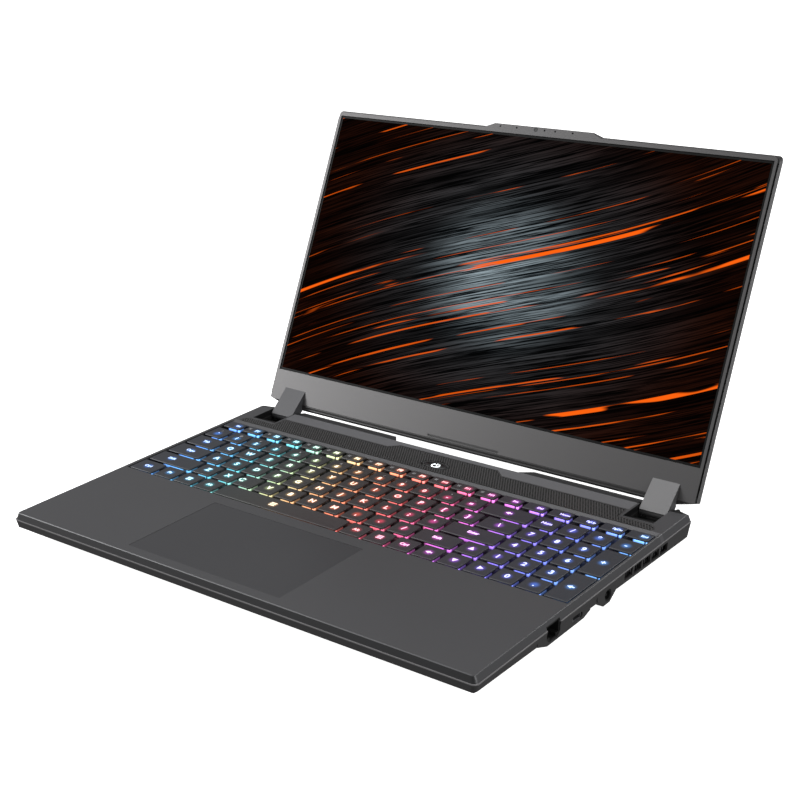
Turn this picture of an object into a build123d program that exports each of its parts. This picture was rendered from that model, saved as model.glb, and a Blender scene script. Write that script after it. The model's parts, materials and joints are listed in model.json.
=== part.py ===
from build123d import *
import os
from math import cos, radians, sin

os.makedirs("parts", exist_ok=True)

# A 15.6 inch gaming laptop, opened.  X is to the user's right, Y away from the
# user, Z up.  The floor is Z = 0 and the origin is under the middle of the
# opened laptop.  All sizes are in millimetres.

# ---------------------------------------------------------------- driving sizes
DISPLAY_WIDTH = 344.2  # active area of a 15.6 inch 16:9 panel
DISPLAY_HEIGHT = 193.6
BODY_WIDTH = 356.0  # over the ridge line round the base
DECK_WIDTH = 351.7  # the flat deck, inside the bevel
BODY_DEPTH = 243.5  # deck's front edge to the back of the exhaust blocks
FRONT_Y = -171.1  # the deck's front edge
FOOT_HEIGHT = 1.5
DECK_Z = 18.2  # deck height above the floor
RIDGE_Z = DECK_Z - 4.3  # ridge line, where top case and bottom cover meet
WALL = 1.5
LID_LEAN = 25.6  # the lid leans back this far from upright, in degrees
LID_THICKNESS = 6.5


def back(distance):
    """Y of a point this far behind the deck's front edge."""
    return FRONT_Y + distance


def save(piece, label):
    """Label a finished piece and write its file."""
    piece.part.label = label
    export_step(piece.part, f"parts/{label}.step")


def both_sides(points):
    """A right-hand half outline, front to back, closed by its mirror image."""
    return [*points, *[(-x, y) for x, y in reversed(points)]]


# ---------------------------------------------------------------- base layout
FRONT_OVERHANG = 1.6  # the ridge line stands this far in front of the deck
REAR_CORNER_Y = back(234.0)  # the cut rear corners start here
REAR_CORNER_X = 159.0
NOTCH_X = 53.0  # half the width of the gap between the exhaust blocks
NOTCH_Y = back(231.0)
FRONT_CORNER_RADIUS = 3.0
TAIL_Y = back(231.3)  # behind this line the deck slopes down
TAIL_DROP = 3.1
RIDGE_LEDGE = 0.5  # the lower shell stands out this far round the top case
DECK_EDGE = 0.35  # bevel round the deck

HINGE_Y = back(232.9)
HINGE_Z = DECK_Z - 3.9
HINGE_INNER_X = 144.4  # the two hinge knuckles lie between these
HINGE_OUTER_X = 163.4
KNUCKLE_RADIUS = 3.9
PIN_RADIUS = 1.5
PIN_CLEARANCE = 0.05
PIN_END_X = 122.5
WELL_GAP = 1.0  # free space each side of a knuckle in its well
WELL_FRONT_Y = back(209.7)
WELL_FLOOR_Z = DECK_Z - 8.7


def base_outline(half_width, front, rear, wall=0):
    """Plan outline of the base at one level; a wall moves the notch's faces in."""
    right = [(half_width, front), (half_width, REAR_CORNER_Y), (REAR_CORNER_X, rear)]
    notch = [(NOTCH_X + 5 + wall, rear), (NOTCH_X + wall, NOTCH_Y - wall)]
    return both_sides([*right, *notch])


def hinge_wells(lowest, highest):
    """Two blocks between these levels, and the wells cut into them."""
    inner = HINGE_INNER_X - WELL_GAP
    outer = HINGE_OUTER_X + WELL_GAP
    with BuildPart() as blocks:
        with BuildSketch(Plane.XY.offset(lowest)):
            with Locations(((inner + outer) / 2, back(225.4)), (-(inner + outer) / 2, back(225.4))):
                Rectangle(outer - inner + 2 * WALL, 34.4)
        extrude(amount=highest - lowest)
    with BuildPart() as wells:
        for side in (-1, 1):
            start = inner if side > 0 else -outer
            with BuildSketch(Plane.YZ.offset(start)):
                Polygon(
                    (WELL_FRONT_Y, DECK_Z + 2),
                    (WELL_FRONT_Y, DECK_Z),
                    (back(229), WELL_FLOOR_Z),
                    (back(248), WELL_FLOOR_Z),
                    (back(248), DECK_Z + 2),
                    align=None,
                )
            extrude(amount=outer - inner)
            with BuildSketch(Plane.YZ.offset(side * inner)):
                with Locations((HINGE_Y, HINGE_Z)):
                    Circle(PIN_RADIUS + 0.4)
            extrude(amount=-side * 3)
    return blocks, wells


# ---------------------------------------------------------------- keyboard layout
KEY_PITCH_X = 18.33
KEY_PITCH_Y = 18.1
FIRST_KEY_X = -164.1  # centre of the first column
FUNCTION_ROW_Y = back(190.6)  # centres of the rows
NUMBER_ROW_Y = back(173.6)
KEY_GAP = 3.0
FUNCTION_KEY_DEPTH = 9.7
KEY_THICKNESS = 0.9
STEM_RADIUS = 1.4
STEM_LENGTH = 2.8
KEY_EDGE = 0.35  # bevel round the top of each cap

# Each group is pressed as one piece: (row, first column, width in units, rows deep)
KEY_GROUPS = {
    "escape_key": [(0, 0, 1, 1)],
    "function_keys": [(0, column, 1, 1) for column in range(1, 19)],
    "number_row_keys": [(1, column, 1, 1) for column in range(13)],
    "backspace_key": [(1, 13, 2, 1)],
    "tab_key": [(2, 0, 1.5, 1)],
    "upper_letter_keys": [(2, 1.5 + column, 1, 1) for column in range(12)],
    "backslash_key": [(2, 13.5, 1.5, 1)],
    "caps_lock_key": [(3, 0, 1.75, 1)],
    "home_letter_keys": [(3, 1.75 + column, 1, 1) for column in range(11)],
    "enter_key": [(3, 12.75, 2.25, 1)],
    "left_shift_key": [(4, 0, 2.25, 1)],
    "lower_letter_keys": [(4, 2.25 + column, 1, 1) for column in range(10)],
    "right_shift_key": [(4, 12.25, 1.75, 1)],
    "modifier_keys": [
        (5, 0, 1.25, 1),
        (5, 1.25, 1, 1),
        (5, 2.25, 1, 1),
        (5, 3.25, 1, 1),
        (5, 10, 1, 1),
        (5, 11, 1, 1),
        (5, 12, 1, 1),
    ],
    "space_bar": [(5, 4.25, 5.75, 1)],
    "up_arrow_key": [(4, 14, 1, 1)],
    "left_arrow_key": [(5, 13, 1, 1)],
    "down_arrow_key": [(5, 14, 1, 1)],
    "right_arrow_key": [(5, 15, 1, 1)],
    "numpad_operator_keys": [(1, column, 1, 1) for column in range(15, 19)],
    "numpad_digit_keys": [
        *[(row, column, 1, 1) for row in (2, 3, 4) for column in (15, 16, 17)],
        (5, 16, 1, 1),
        (5, 17, 1, 1),
    ],
    "numpad_plus_key": [(2, 18, 1, 2)],
    "numpad_enter_key": [(4, 18, 1, 2)],
}


def cap_place(row, column, units, rows):
    """Centre and size of one cap."""
    x = FIRST_KEY_X + (column + (units - 1) / 2) * KEY_PITCH_X
    width = units * KEY_PITCH_X - KEY_GAP
    if row == 0:
        return x, FUNCTION_ROW_Y, width, FUNCTION_KEY_DEPTH
    y = NUMBER_ROW_Y - (row - 1 + (rows - 1) / 2) * KEY_PITCH_Y
    return x, y, width, rows * KEY_PITCH_Y - KEY_GAP + 0.3


def stem_places(row, column, units, rows):
    """A cap has one stem, and a long cap has one near each end."""
    x, y, width, depth = cap_place(row, column, units, rows)
    if units > 1.6:
        return [(x - width / 2 + 7, y), (x + width / 2 - 7, y)]
    if rows > 1:
        return [(x, y - depth / 2 + 7), (x, y + depth / 2 - 7)]
    return [(x, y)]


KEYWELL_LEFT = -173.0
KEYWELL_RIGHT = 174.5
KEYWELL_FRONT = back(92.0)
KEYWELL_BACK = back(196.0)
KEYWELL_FLOOR_Z = DECK_Z - 3.0
SLOPE_DROP = 1.0

PAD_LEFT = -81.4
PAD_RIGHT = 39.4
PAD_FRONT = back(7.3)
PAD_BACK = back(82.2)
PAD_GAP = 0.15

POWER_Y = back(211.0)
POWER_WIDTH = 20.0
POWER_DEPTH = 9.0
GRILLE_DEPTH = 0.8

GRILLE_OUTLINE = both_sides(
    [
        (169.0, back(199.8)),
        (169.0, back(204.5)),
        (164.5, back(208.2)),
        (142.3, back(208.2)),
        (141.4, back(219.6)),
        (48.0, back(219.6)),
        (40.5, back(226.4)),
    ]
)


def rectangle_between(left, right, front, rear):
    """A rectangle given by its four sides."""
    with Locations(((left + right) / 2, (front + rear) / 2)):
        Rectangle(right - left, rear - front)


def power_outline(growth):
    """The power button's six-sided outline, grown by a gap."""
    half = POWER_WIDTH / 2 + growth
    depth = POWER_DEPTH / 2 + growth
    points = [(half - 4, POWER_Y - depth), (half, POWER_Y), (half - 4, POWER_Y + depth)]
    return both_sides(points)


# ---------------------------------------------------------------- side ports
PORT_Z = 10.8  # centre of the ports in the left wall
LAN_Y = back(73.5)
USB_C_Y = back(98.4)
USB_C_Z = DECK_Z - 10.6
POWER_JACK_Y = back(132.5)
POWER_JACK_Z = DECK_Z - 11.6
POWER_JACK_RADIUS = 3.0
AUDIO_Y = back(58.0)
AUDIO_RADIUS = 1.75
AUDIO_DEPTH = 14.0
USB_A_Y = back(80.0)
HDMI_Y = back(104.0)
PORT_FACE_X = 177.2

LAN_OUTLINE = [
    (LAN_Y - 6.9, DECK_Z - 2.4),
    (LAN_Y - 6.9, DECK_Z - 10.4),
    (LAN_Y - 3.8, DECK_Z - 13.0),
    (LAN_Y + 3.8, DECK_Z - 13.0),
    (LAN_Y + 6.9, DECK_Z - 10.4),
    (LAN_Y + 6.9, DECK_Z - 2.4),
]

VENT_COUNT = 5
VENT_PITCH = 11.05
VENT_WIDTH = 9.3
VENT_HEIGHT = 6.1
FIRST_VENT_Y = back(156.4)
VENT_Z = DECK_Z - 8.05
VENT_FALL = 0.47  # each vent is this much lower than the one in front
VENT_SLANT = 1.7  # the vents lean forward by this at the top
REAR_VENT_X = 64.0
REAR_VENT_PITCH = 9.0
REAR_VENT_COUNT = 7
REAR_VENT_WIDTH = 7.0
REAR_VENT_HEIGHT = 6.0
REAR_VENT_Z = 8.6

# ---------------------------------------------------------------- top case
with BuildPart() as top_case:
    with BuildSketch(Plane.XY.offset(RIDGE_Z)) as ridge_outline:
        front = back(-FRONT_OVERHANG) + RIDGE_LEDGE
        Polygon(*base_outline(BODY_WIDTH / 2 - RIDGE_LEDGE, front, back(BODY_DEPTH)), align=None)
        fillet(ridge_outline.vertices().group_by(Axis.Y)[0], FRONT_CORNER_RADIUS)
    with BuildSketch(Plane.XY.offset(DECK_Z - DECK_EDGE)) as edge_outline:
        Polygon(*base_outline(DECK_WIDTH / 2, FRONT_Y, back(BODY_DEPTH - 0.6)), align=None)
        fillet(edge_outline.vertices().group_by(Axis.Y)[0], FRONT_CORNER_RADIUS - 1)
    with BuildSketch(Plane.XY.offset(DECK_Z)) as deck_outline:
        half_width = DECK_WIDTH / 2 - DECK_EDGE
        Polygon(*base_outline(half_width, FRONT_Y + DECK_EDGE, back(BODY_DEPTH - 0.8)), align=None)
        fillet(deck_outline.vertices().group_by(Axis.Y)[0], FRONT_CORNER_RADIUS - 1.4)
    loft(ruled=True)
    # hollow under the deck
    with BuildSketch(Plane.XY.offset(RIDGE_Z)):
        rectangle_between(-175.6, 175.6, back(1.5), back(229.5))
    extrude(amount=DECK_Z - WALL - RIDGE_Z, mode=Mode.SUBTRACT)
    well_blocks, wells = hinge_wells(RIDGE_Z, DECK_Z - WALL)
    add(well_blocks.part)
    add(wells.part, mode=Mode.SUBTRACT)
    # the deck slopes down behind the lid
    with BuildSketch(Plane.YZ.offset(-BODY_WIDTH / 2)):
        Polygon(
            (TAIL_Y, DECK_Z),
            (back(BODY_DEPTH), DECK_Z - TAIL_DROP),
            (back(BODY_DEPTH + 2), DECK_Z - TAIL_DROP),
            (back(BODY_DEPTH + 2), DECK_Z + 1),
            (TAIL_Y, DECK_Z + 1),
            align=None,
        )
    extrude(amount=BODY_WIDTH, mode=Mode.SUBTRACT)
    # room for the hinge brackets' barrels
    for side in (-1, 1):
        with BuildSketch(Plane.YZ.offset(side * (PIN_END_X - 1.5))):
            with Locations((HINGE_Y, HINGE_Z)):
                Circle(2.7)
            with Locations((HINGE_Y, (RIDGE_Z + HINGE_Z) / 2)):
                Rectangle(5.4, HINGE_Z - RIDGE_Z)
        extrude(amount=side * 20.5, mode=Mode.SUBTRACT)
    # openings in the deck
    with BuildSketch(Plane.XY.offset(DECK_Z)):
        rectangle_between(KEYWELL_LEFT, KEYWELL_RIGHT, KEYWELL_FRONT, KEYWELL_BACK)
        rectangle_between(PAD_LEFT, PAD_RIGHT, PAD_FRONT, PAD_BACK)
        Polygon(*power_outline(PAD_GAP), align=None)
    extrude(amount=-2 * WALL, mode=Mode.SUBTRACT)
    with BuildSketch(Plane.XY.offset(DECK_Z - GRILLE_DEPTH)):
        Polygon(*GRILLE_OUTLINE, align=None)
    extrude(amount=2 * GRILLE_DEPTH, mode=Mode.SUBTRACT)
    # sloping edge behind the function keys
    with BuildSketch(Plane.YZ.offset(KEYWELL_LEFT)):
        Polygon(
            (KEYWELL_BACK, DECK_Z - SLOPE_DROP),
            (back(199.4), DECK_Z),
            (back(199.4), DECK_Z + 1),
            (KEYWELL_BACK, DECK_Z + 1),
            align=None,
        )
    extrude(amount=KEYWELL_RIGHT - KEYWELL_LEFT, mode=Mode.SUBTRACT)
    with BuildSketch(Plane.YZ.offset(158)):
        Polygon(*LAN_OUTLINE, align=None)
    extrude(amount=24, mode=Mode.SUBTRACT)
save(top_case, "top_case")

# ---------------------------------------------------------------- lower shell
LOWER_BAND_Z = DECK_Z - 9.0
BOTTOM_WALL = 1.3


def lower_body(wall):
    """The base below the ridge line, with every face moved in by a wall."""
    top = RIDGE_Z if wall == 0 else RIDGE_Z + 1
    with BuildPart() as body:
        with BuildSketch(Plane.XY.offset(FOOT_HEIGHT + wall)) as lowest:
            outline = base_outline(175.5 - wall, back(0) + wall, back(242.5) - wall, wall)
            Polygon(*outline, align=None)
            fillet(lowest.vertices().group_by(Axis.Y)[0], FRONT_CORNER_RADIUS)
        with BuildSketch(Plane.XY.offset(LOWER_BAND_Z)) as middle:
            outline = base_outline(177.0 - wall, back(-0.9) + wall, back(243.2) - wall, wall)
            Polygon(*outline, align=None)
            fillet(middle.vertices().group_by(Axis.Y)[0], FRONT_CORNER_RADIUS)
        with BuildSketch(Plane.XY.offset(top)) as highest:
            outline = base_outline(
                BODY_WIDTH / 2 - wall, back(-FRONT_OVERHANG) + wall, back(BODY_DEPTH) - wall, wall
            )
            Polygon(*outline, align=None)
            fillet(highest.vertices().group_by(Axis.Y)[0], FRONT_CORNER_RADIUS)
        loft(ruled=True)
        # the underside rises to the front lip and to both sides
        slope_start = (0, back(-1.0), LOWER_BAND_Z - 0.5)
        front_slope = Plane(origin=slope_start, x_dir=(1, 0, 0), z_dir=(0, 7.2, 15.2))
        split(bisect_by=front_slope.offset(wall), keep=Keep.TOP)
        for side in (-1, 1):
            along = Vector(0, 213, -5.4)
            inward = Vector(-side * 14.2, 0, -7.8)
            normal = along.cross(inward) * side
            side_slope = Plane(origin=(side * 177.2, back(0), LOWER_BAND_Z + 0.1), z_dir=normal)
            split(bisect_by=side_slope.offset(wall), keep=Keep.TOP)
    return body


def port_housing(start, flat_start, flat_end, end, lowest):
    """A block behind the right wall that reaches below it round a port."""
    with BuildPart() as housing:
        with BuildSketch(Plane.YZ.offset(163)):
            Polygon(
                (back(start), RIDGE_Z - 2),
                (back(start), LOWER_BAND_Z - 1.5),
                (back(flat_start), lowest),
                (back(flat_end), lowest),
                (back(end), LOWER_BAND_Z - 3.0),
                (back(end), RIDGE_Z - 2),
                align=None,
            )
        extrude(amount=177.3 - 163)
    return housing


def side_vents(depth):
    """The five exhaust slots of the right side wall, as a solid to take away."""
    with BuildPart() as vents:
        with BuildSketch(Plane.YZ.offset(180 - depth)):
            for index in range(VENT_COUNT):
                high = VENT_HEIGHT / 2
                lean = VENT_SLANT / 2
                wide = VENT_WIDTH / 2
                upper = [(wide - lean, high), (-wide - lean, high)]
                lower = [(-wide + lean, -high), (wide + lean, -high)]
                y = FIRST_VENT_Y + index * VENT_PITCH
                z = VENT_Z - index * VENT_FALL
                Polygon(*[(y + across, z + up) for across, up in upper + lower], align=None)
        extrude(amount=depth)
    return vents


outer_body = lower_body(0)
inner_body = lower_body(BOTTOM_WALL)
usb_housing = port_housing(57.4, 67, 105.5, 112.6, DECK_Z - 14.1)
power_housing = port_housing(120.5, 127, 134.5, 141.5, FOOT_HEIGHT + 0.1)
right_vents = side_vents(10)

INTAKE_X = 96.0
INTAKE_Y = back(165.0)
SCREW_RADIUS = 1.5
SCREW_ROWS = {
    24.0: (-150.0, -62.0, 62.0, 150.0),
    118.0: (-150.0, -62.0, 62.0, 150.0),
    222.0: (-62.0, 62.0),
}
SCREW_PLACES = [(x, back(row)) for row, places in SCREW_ROWS.items() for x in places]

with BuildPart() as lower_shell:
    add(outer_body.part)
    add(inner_body.part, mode=Mode.SUBTRACT)
    add(usb_housing.part)
    add(power_housing.part)
    well_blocks, wells = hinge_wells(WELL_FLOOR_Z - WALL, RIDGE_Z)
    add(well_blocks.part)
    add(wells.part, mode=Mode.SUBTRACT)
    # exhaust slots in both side walls and in the back of the exhaust blocks
    add(right_vents.part, mode=Mode.SUBTRACT)
    add(right_vents.part.mirror(Plane.YZ), mode=Mode.SUBTRACT)
    with BuildSketch(Plane.XZ.offset(-back(235))):
        for index in range(REAR_VENT_COUNT):
            offset_x = REAR_VENT_X + REAR_VENT_WIDTH / 2 + index * REAR_VENT_PITCH
            with Locations((offset_x, REAR_VENT_Z), (-offset_x, REAR_VENT_Z)):
                Rectangle(REAR_VENT_WIDTH, REAR_VENT_HEIGHT)
    extrude(amount=-12, mode=Mode.SUBTRACT)
    # intake slots under the fans
    with BuildSketch(Plane.XY):
        with Locations((INTAKE_X, INTAKE_Y), (-INTAKE_X, INTAKE_Y)):
            with GridLocations(24, 5.5, 3, 11):
                SlotOverall(21, 2.4)
    extrude(amount=FOOT_HEIGHT + 2 * BOTTOM_WALL, mode=Mode.SUBTRACT)
    # port openings on the right
    with BuildSketch(Plane.YZ.offset(158)):
        Polygon(*LAN_OUTLINE, align=None)
    extrude(amount=24, mode=Mode.SUBTRACT)
    with BuildSketch(Plane.YZ.offset(166)):
        with Locations((USB_C_Y, USB_C_Z)):
            SlotOverall(11.4, 3.6)
        with Locations((POWER_JACK_Y, POWER_JACK_Z)):
            Circle(POWER_JACK_RADIUS + 0.8)
    extrude(amount=14, mode=Mode.SUBTRACT)
    # port openings on the left
    with BuildSketch(Plane.YZ.offset(-180)):
        with Locations((AUDIO_Y, PORT_Z)):
            Circle(3.0)
        with Locations((USB_A_Y, PORT_Z)):
            Rectangle(13.3, 5.8)
        with Locations((HDMI_Y, PORT_Z)):
            Rectangle(15.2, 5.8)
    extrude(amount=17, mode=Mode.SUBTRACT)
    # screw seats
    with Locations(*[Location((x, y, FOOT_HEIGHT), (180, 0, 0)) for x, y in SCREW_PLACES]):
        CounterBoreHole(SCREW_RADIUS, 2.6, 0.6, depth=BOTTOM_WALL)

# The lower shell is four pieces: the cover, a block round the right-hand ports,
# and a trim at each end of the back that holds the rear exhaust slots.
TRIM_FRONT_Y = NOTCH_Y - BOTTOM_WALL
PORT_BLOCK_X = 163.0
PORT_BLOCK_FRONT = 57.0
PORT_BLOCK_BACK = 113.0


def zone(left, right, front, rear, lowest):
    """A tall box that picks out one region of the lower shell."""
    with BuildPart() as box:
        with BuildSketch(Plane.XY.offset(lowest)):
            rectangle_between(left, right, front, rear)
        extrude(amount=DECK_Z + 2 - lowest)
    return box


def trim_region(side):
    """The end of the back on one side, with the hinge well that it carries."""
    inner = side * NOTCH_X
    outer = side * (BODY_WIDTH / 2 + 2)
    end_zone = zone(min(inner, outer), max(inner, outer), TRIM_FRONT_Y, back(BODY_DEPTH + 1), -1)
    well_inner = side * (HINGE_INNER_X - WELL_GAP - WALL - 0.5)
    well_outer = side * (HINGE_OUTER_X + WELL_GAP + WALL + 0.5)
    well_lowest = WELL_FLOOR_Z - WALL - 0.1
    well_zone = zone(
        min(well_inner, well_outer), max(well_inner, well_outer), back(207), TRIM_FRONT_Y, well_lowest
    )
    with BuildPart() as region:
        add(end_zone.part)
        add(well_zone.part)
    return region


port_zone = zone(PORT_BLOCK_X, 180, back(PORT_BLOCK_FRONT), back(PORT_BLOCK_BACK), -1)
trim_zones = {"rear_trim_left": trim_region(-1), "rear_trim_right": trim_region(1)}

with BuildPart() as bottom_cover:
    add(lower_shell.part)
    add(port_zone.part, mode=Mode.SUBTRACT)
    for trim_zone in trim_zones.values():
        add(trim_zone.part, mode=Mode.SUBTRACT)
save(bottom_cover, "bottom_cover")

with BuildPart() as side_port_block:
    add(lower_shell.part)
    add(port_zone.part, mode=Mode.INTERSECT)
save(side_port_block, "side_port_block")

for label, trim_zone in trim_zones.items():
    with BuildPart() as rear_trim:
        add(lower_shell.part)
        add(trim_zone.part, mode=Mode.INTERSECT)
    save(rear_trim, label)

with BuildPart() as cover_screws:
    with BuildSketch(Plane.XY.offset(FOOT_HEIGHT + 0.15)):
        with Locations(*SCREW_PLACES):
            Circle(2.5)
    extrude(amount=0.45)
    with BuildSketch(Plane.XY.offset(FOOT_HEIGHT + 0.6)):
        with Locations(*SCREW_PLACES):
            Circle(SCREW_RADIUS - 0.1)
    extrude(amount=1.0)
    with BuildSketch(Plane.XY.offset(FOOT_HEIGHT + 0.15)):
        with Locations(*SCREW_PLACES):
            Circle(0.9)
    extrude(amount=0.3, mode=Mode.SUBTRACT)
save(cover_screws, "cover_screws")

with BuildPart() as rubber_feet:
    with BuildSketch(Plane.XY):
        with Locations((0, back(24))):
            SlotOverall(110, 9)
        with Locations((-120, back(226)), (120, back(226))):
            SlotOverall(70, 9)
        with Locations((0, back(222))):
            SlotOverall(70, 9)
    extrude(amount=FOOT_HEIGHT)
    chamfer(rubber_feet.faces().group_by(Axis.Z)[0].edges(), 0.4)
save(rubber_feet, "rubber_feet")

# ---------------------------------------------------------------- keyboard
PLATE_THICKNESS = 0.8
PLATE_RIM = 0.9

with BuildPart() as keyboard_plate:
    with BuildSketch(Plane.XY.offset(KEYWELL_FLOOR_Z - PLATE_THICKNESS)):
        rectangle_between(
            KEYWELL_LEFT - PLATE_RIM,
            KEYWELL_RIGHT + PLATE_RIM,
            KEYWELL_FRONT - PLATE_RIM,
            KEYWELL_BACK + PLATE_RIM,
        )
    extrude(amount=DECK_Z - WALL - KEYWELL_FLOOR_Z + PLATE_THICKNESS)
    with BuildSketch(Plane.XY.offset(KEYWELL_FLOOR_Z)):
        rectangle_between(KEYWELL_LEFT, KEYWELL_RIGHT, KEYWELL_FRONT, KEYWELL_BACK)
    extrude(amount=WALL + 2, mode=Mode.SUBTRACT)
    with BuildSketch(Plane.XY.offset(KEYWELL_FLOOR_Z)):
        for keys in KEY_GROUPS.values():
            for key in keys:
                with Locations(*stem_places(*key)):
                    Circle(STEM_RADIUS + 0.5)
    extrude(amount=-PLATE_THICKNESS, mode=Mode.SUBTRACT)
save(keyboard_plate, "keyboard_plate")

for group, keys in KEY_GROUPS.items():
    with BuildPart() as key_group:
        for key in keys:
            x, y, width, depth = cap_place(*key)
            with BuildSketch(Plane.XY.offset(DECK_Z - KEY_THICKNESS)):
                with Locations((x, y)):
                    RectangleRounded(width, depth, 0.9)
            extrude(amount=KEY_THICKNESS)
        chamfer(key_group.faces().group_by(Axis.Z)[-1].edges(), KEY_EDGE)
        with BuildSketch(Plane.XY.offset(DECK_Z - KEY_THICKNESS)):
            for key in keys:
                with Locations(*stem_places(*key)):
                    Circle(STEM_RADIUS)
        extrude(amount=-STEM_LENGTH)
    save(key_group, group)

# ---------------------------------------------------------------- deck pieces
PAD_SINK = 0.1
with BuildPart() as touchpad:
    with BuildSketch(Plane.XY.offset(DECK_Z - PAD_SINK)) as pad_outline:
        rectangle_between(PAD_LEFT + PAD_GAP, PAD_RIGHT - PAD_GAP, PAD_FRONT + PAD_GAP, PAD_BACK - PAD_GAP)
        fillet(pad_outline.vertices(), 0.8)
    extrude(amount=-1.3)
    with BuildSketch(Plane.XY.offset(DECK_Z - PAD_SINK - 1.3)):
        rectangle_between(PAD_LEFT + 3, PAD_RIGHT - 3, PAD_FRONT + 3, PAD_BACK - 3)
    extrude(amount=-1.0)
save(touchpad, "touchpad")

with BuildPart() as power_button:
    with BuildSketch(Plane.XY.offset(DECK_Z)):
        Polygon(*power_outline(0), align=None)
    extrude(amount=-2.2)
    chamfer(power_button.faces().group_by(Axis.Z)[-1].edges(), 0.3)
save(power_button, "power_button")

with BuildPart() as rear_grille:
    with BuildSketch(Plane.XY.offset(DECK_Z - GRILLE_DEPTH)):
        Polygon(*GRILLE_OUTLINE, align=None)
        Polygon(*power_outline(PAD_GAP), align=None, mode=Mode.SUBTRACT)
    extrude(amount=GRILLE_DEPTH - 0.15)
save(rear_grille, "rear_grille")

# ---------------------------------------------------------------- ports
with BuildPart() as network_port:
    with BuildSketch(Plane.YZ.offset(161)) as network_outline:
        Polygon(*LAN_OUTLINE, align=None)
    extrude(amount=PORT_FACE_X - 0.6 - 161)
    with BuildSketch(Plane.YZ.offset(165)):
        with Locations((LAN_Y, DECK_Z - 6.9)):
            Rectangle(11.8, 7.0)
        with Locations((LAN_Y, DECK_Z - 10.9)):
            Rectangle(6.2, 2.6)
    extrude(amount=14, mode=Mode.SUBTRACT)
save(network_port, "network_port")


def slot_port(plane, mouth_y, mouth_z, width, height, depth, tongue):
    """A connector shell with a tongue in it; its mouth lies in the plane."""
    with BuildPart() as port:
        with BuildSketch(plane):
            with Locations((mouth_y, mouth_z)):
                RectangleRounded(width, height, height * 0.24)
        extrude(amount=-depth)
        with BuildSketch(plane):
            with Locations((mouth_y, mouth_z)):
                RectangleRounded(width - 0.8, height - 0.8, (height - 0.8) * 0.24)
        extrude(amount=-(depth - 2), mode=Mode.SUBTRACT)
        with BuildSketch(plane.offset(-(depth - 2))):
            with Locations((mouth_y, mouth_z + tongue[2])):
                Rectangle(tongue[0], tongue[1])
        extrude(amount=depth - 3.5)
    return port


RIGHT_MOUTH = Plane.YZ.offset(PORT_FACE_X - 0.5)
LEFT_MOUTH = Plane(origin=(-(PORT_FACE_X - 0.5), 0, 0), x_dir=(0, 1, 0), z_dir=(-1, 0, 0))
usb_c_port = slot_port(RIGHT_MOUTH, USB_C_Y, USB_C_Z, 9.0, 3.2, 9.0, (6.7, 0.7, 0))
save(usb_c_port, "usb_c_port")
usb_a_port = slot_port(LEFT_MOUTH, USB_A_Y, -PORT_Z, 13.1, 5.6, 13.0, (11.2, 1.8, -0.9))
save(usb_a_port, "usb_a_port")
hdmi_port = slot_port(LEFT_MOUTH, HDMI_Y, -PORT_Z, 15.0, 5.6, 11.0, (12.0, 1.0, 0.3))
save(hdmi_port, "hdmi_port")

with BuildPart() as audio_jack:
    with BuildSketch(Plane.YZ.offset(-(PORT_FACE_X - 0.5))):
        with Locations((AUDIO_Y, PORT_Z)):
            Circle(2.9)
            Circle(AUDIO_RADIUS, mode=Mode.SUBTRACT)
    extrude(amount=AUDIO_DEPTH)
save(audio_jack, "audio_jack")

with BuildPart() as power_jack:
    with BuildSketch(Plane.YZ.offset(166)):
        with Locations((POWER_JACK_Y, POWER_JACK_Z)):
            Circle(POWER_JACK_RADIUS + 0.7)
    extrude(amount=PORT_FACE_X - 0.3 - 166)
    with BuildSketch(Plane.YZ.offset(168)):
        with Locations((POWER_JACK_Y, POWER_JACK_Z)):
            Circle(POWER_JACK_RADIUS - 0.2)
            Circle(0.8, mode=Mode.SUBTRACT)
    extrude(amount=8, mode=Mode.SUBTRACT)
    with BuildSketch(Plane.YZ.offset(176)):
        with Locations((POWER_JACK_Y, POWER_JACK_Z)):
            Circle(POWER_JACK_RADIUS - 0.2)
    extrude(amount=4, mode=Mode.SUBTRACT)
save(power_jack, "power_jack")

# ---------------------------------------------------------------- inside the base
FLOOR_Z = FOOT_HEIGHT + BOTTOM_WALL
BOARD_Z = FLOOR_Z + 4.6
BOARD_THICKNESS = 1.2
BOARD_OUTLINE = both_sides(
    [
        (160.0, back(94)),
        (160.0, back(127)),
        (56.0, back(127)),
        (50.0, back(226)),
    ]
)
FAN_X = 96.0
FAN_Y = back(168.0)
FAN_RADIUS = 33.0
FAN_FLOOR_Z = FLOOR_Z + 0.4
FAN_HEIGHT = 8.0

with BuildPart() as motherboard:
    with BuildSketch(Plane.XY.offset(BOARD_Z)):
        Polygon(*BOARD_OUTLINE, align=None)
    extrude(amount=BOARD_THICKNESS)
    # processor and graphics packages and the memory chips, on the underside
    with BuildSketch(Plane.XY.offset(BOARD_Z)):
        with Locations((-24, back(178)), (26, back(178))):
            Rectangle(30, 34)
        with Locations((-24, back(150)), (26, back(150)), (26, back(206)), (-24, back(206))):
            Rectangle(12, 10)
    extrude(amount=-1.0)
save(motherboard, "motherboard")

with BuildPart() as solid_state_drive:
    with BuildSketch(Plane.XY.offset(BOARD_Z - 3.2)):
        with Locations((100, back(110))):
            Rectangle(80, 22)
    extrude(amount=1.0)
    with BuildSketch(Plane.XY.offset(BOARD_Z - 2.2)):
        with Locations((85, back(110)), (112, back(110))):
            Rectangle(20, 14)
    extrude(amount=1.0)
    with BuildSketch(Plane.XY.offset(BOARD_Z - 2.2)):
        with Locations((137.5, back(110))):
            Rectangle(5, 20)
    extrude(amount=2.2)

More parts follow.
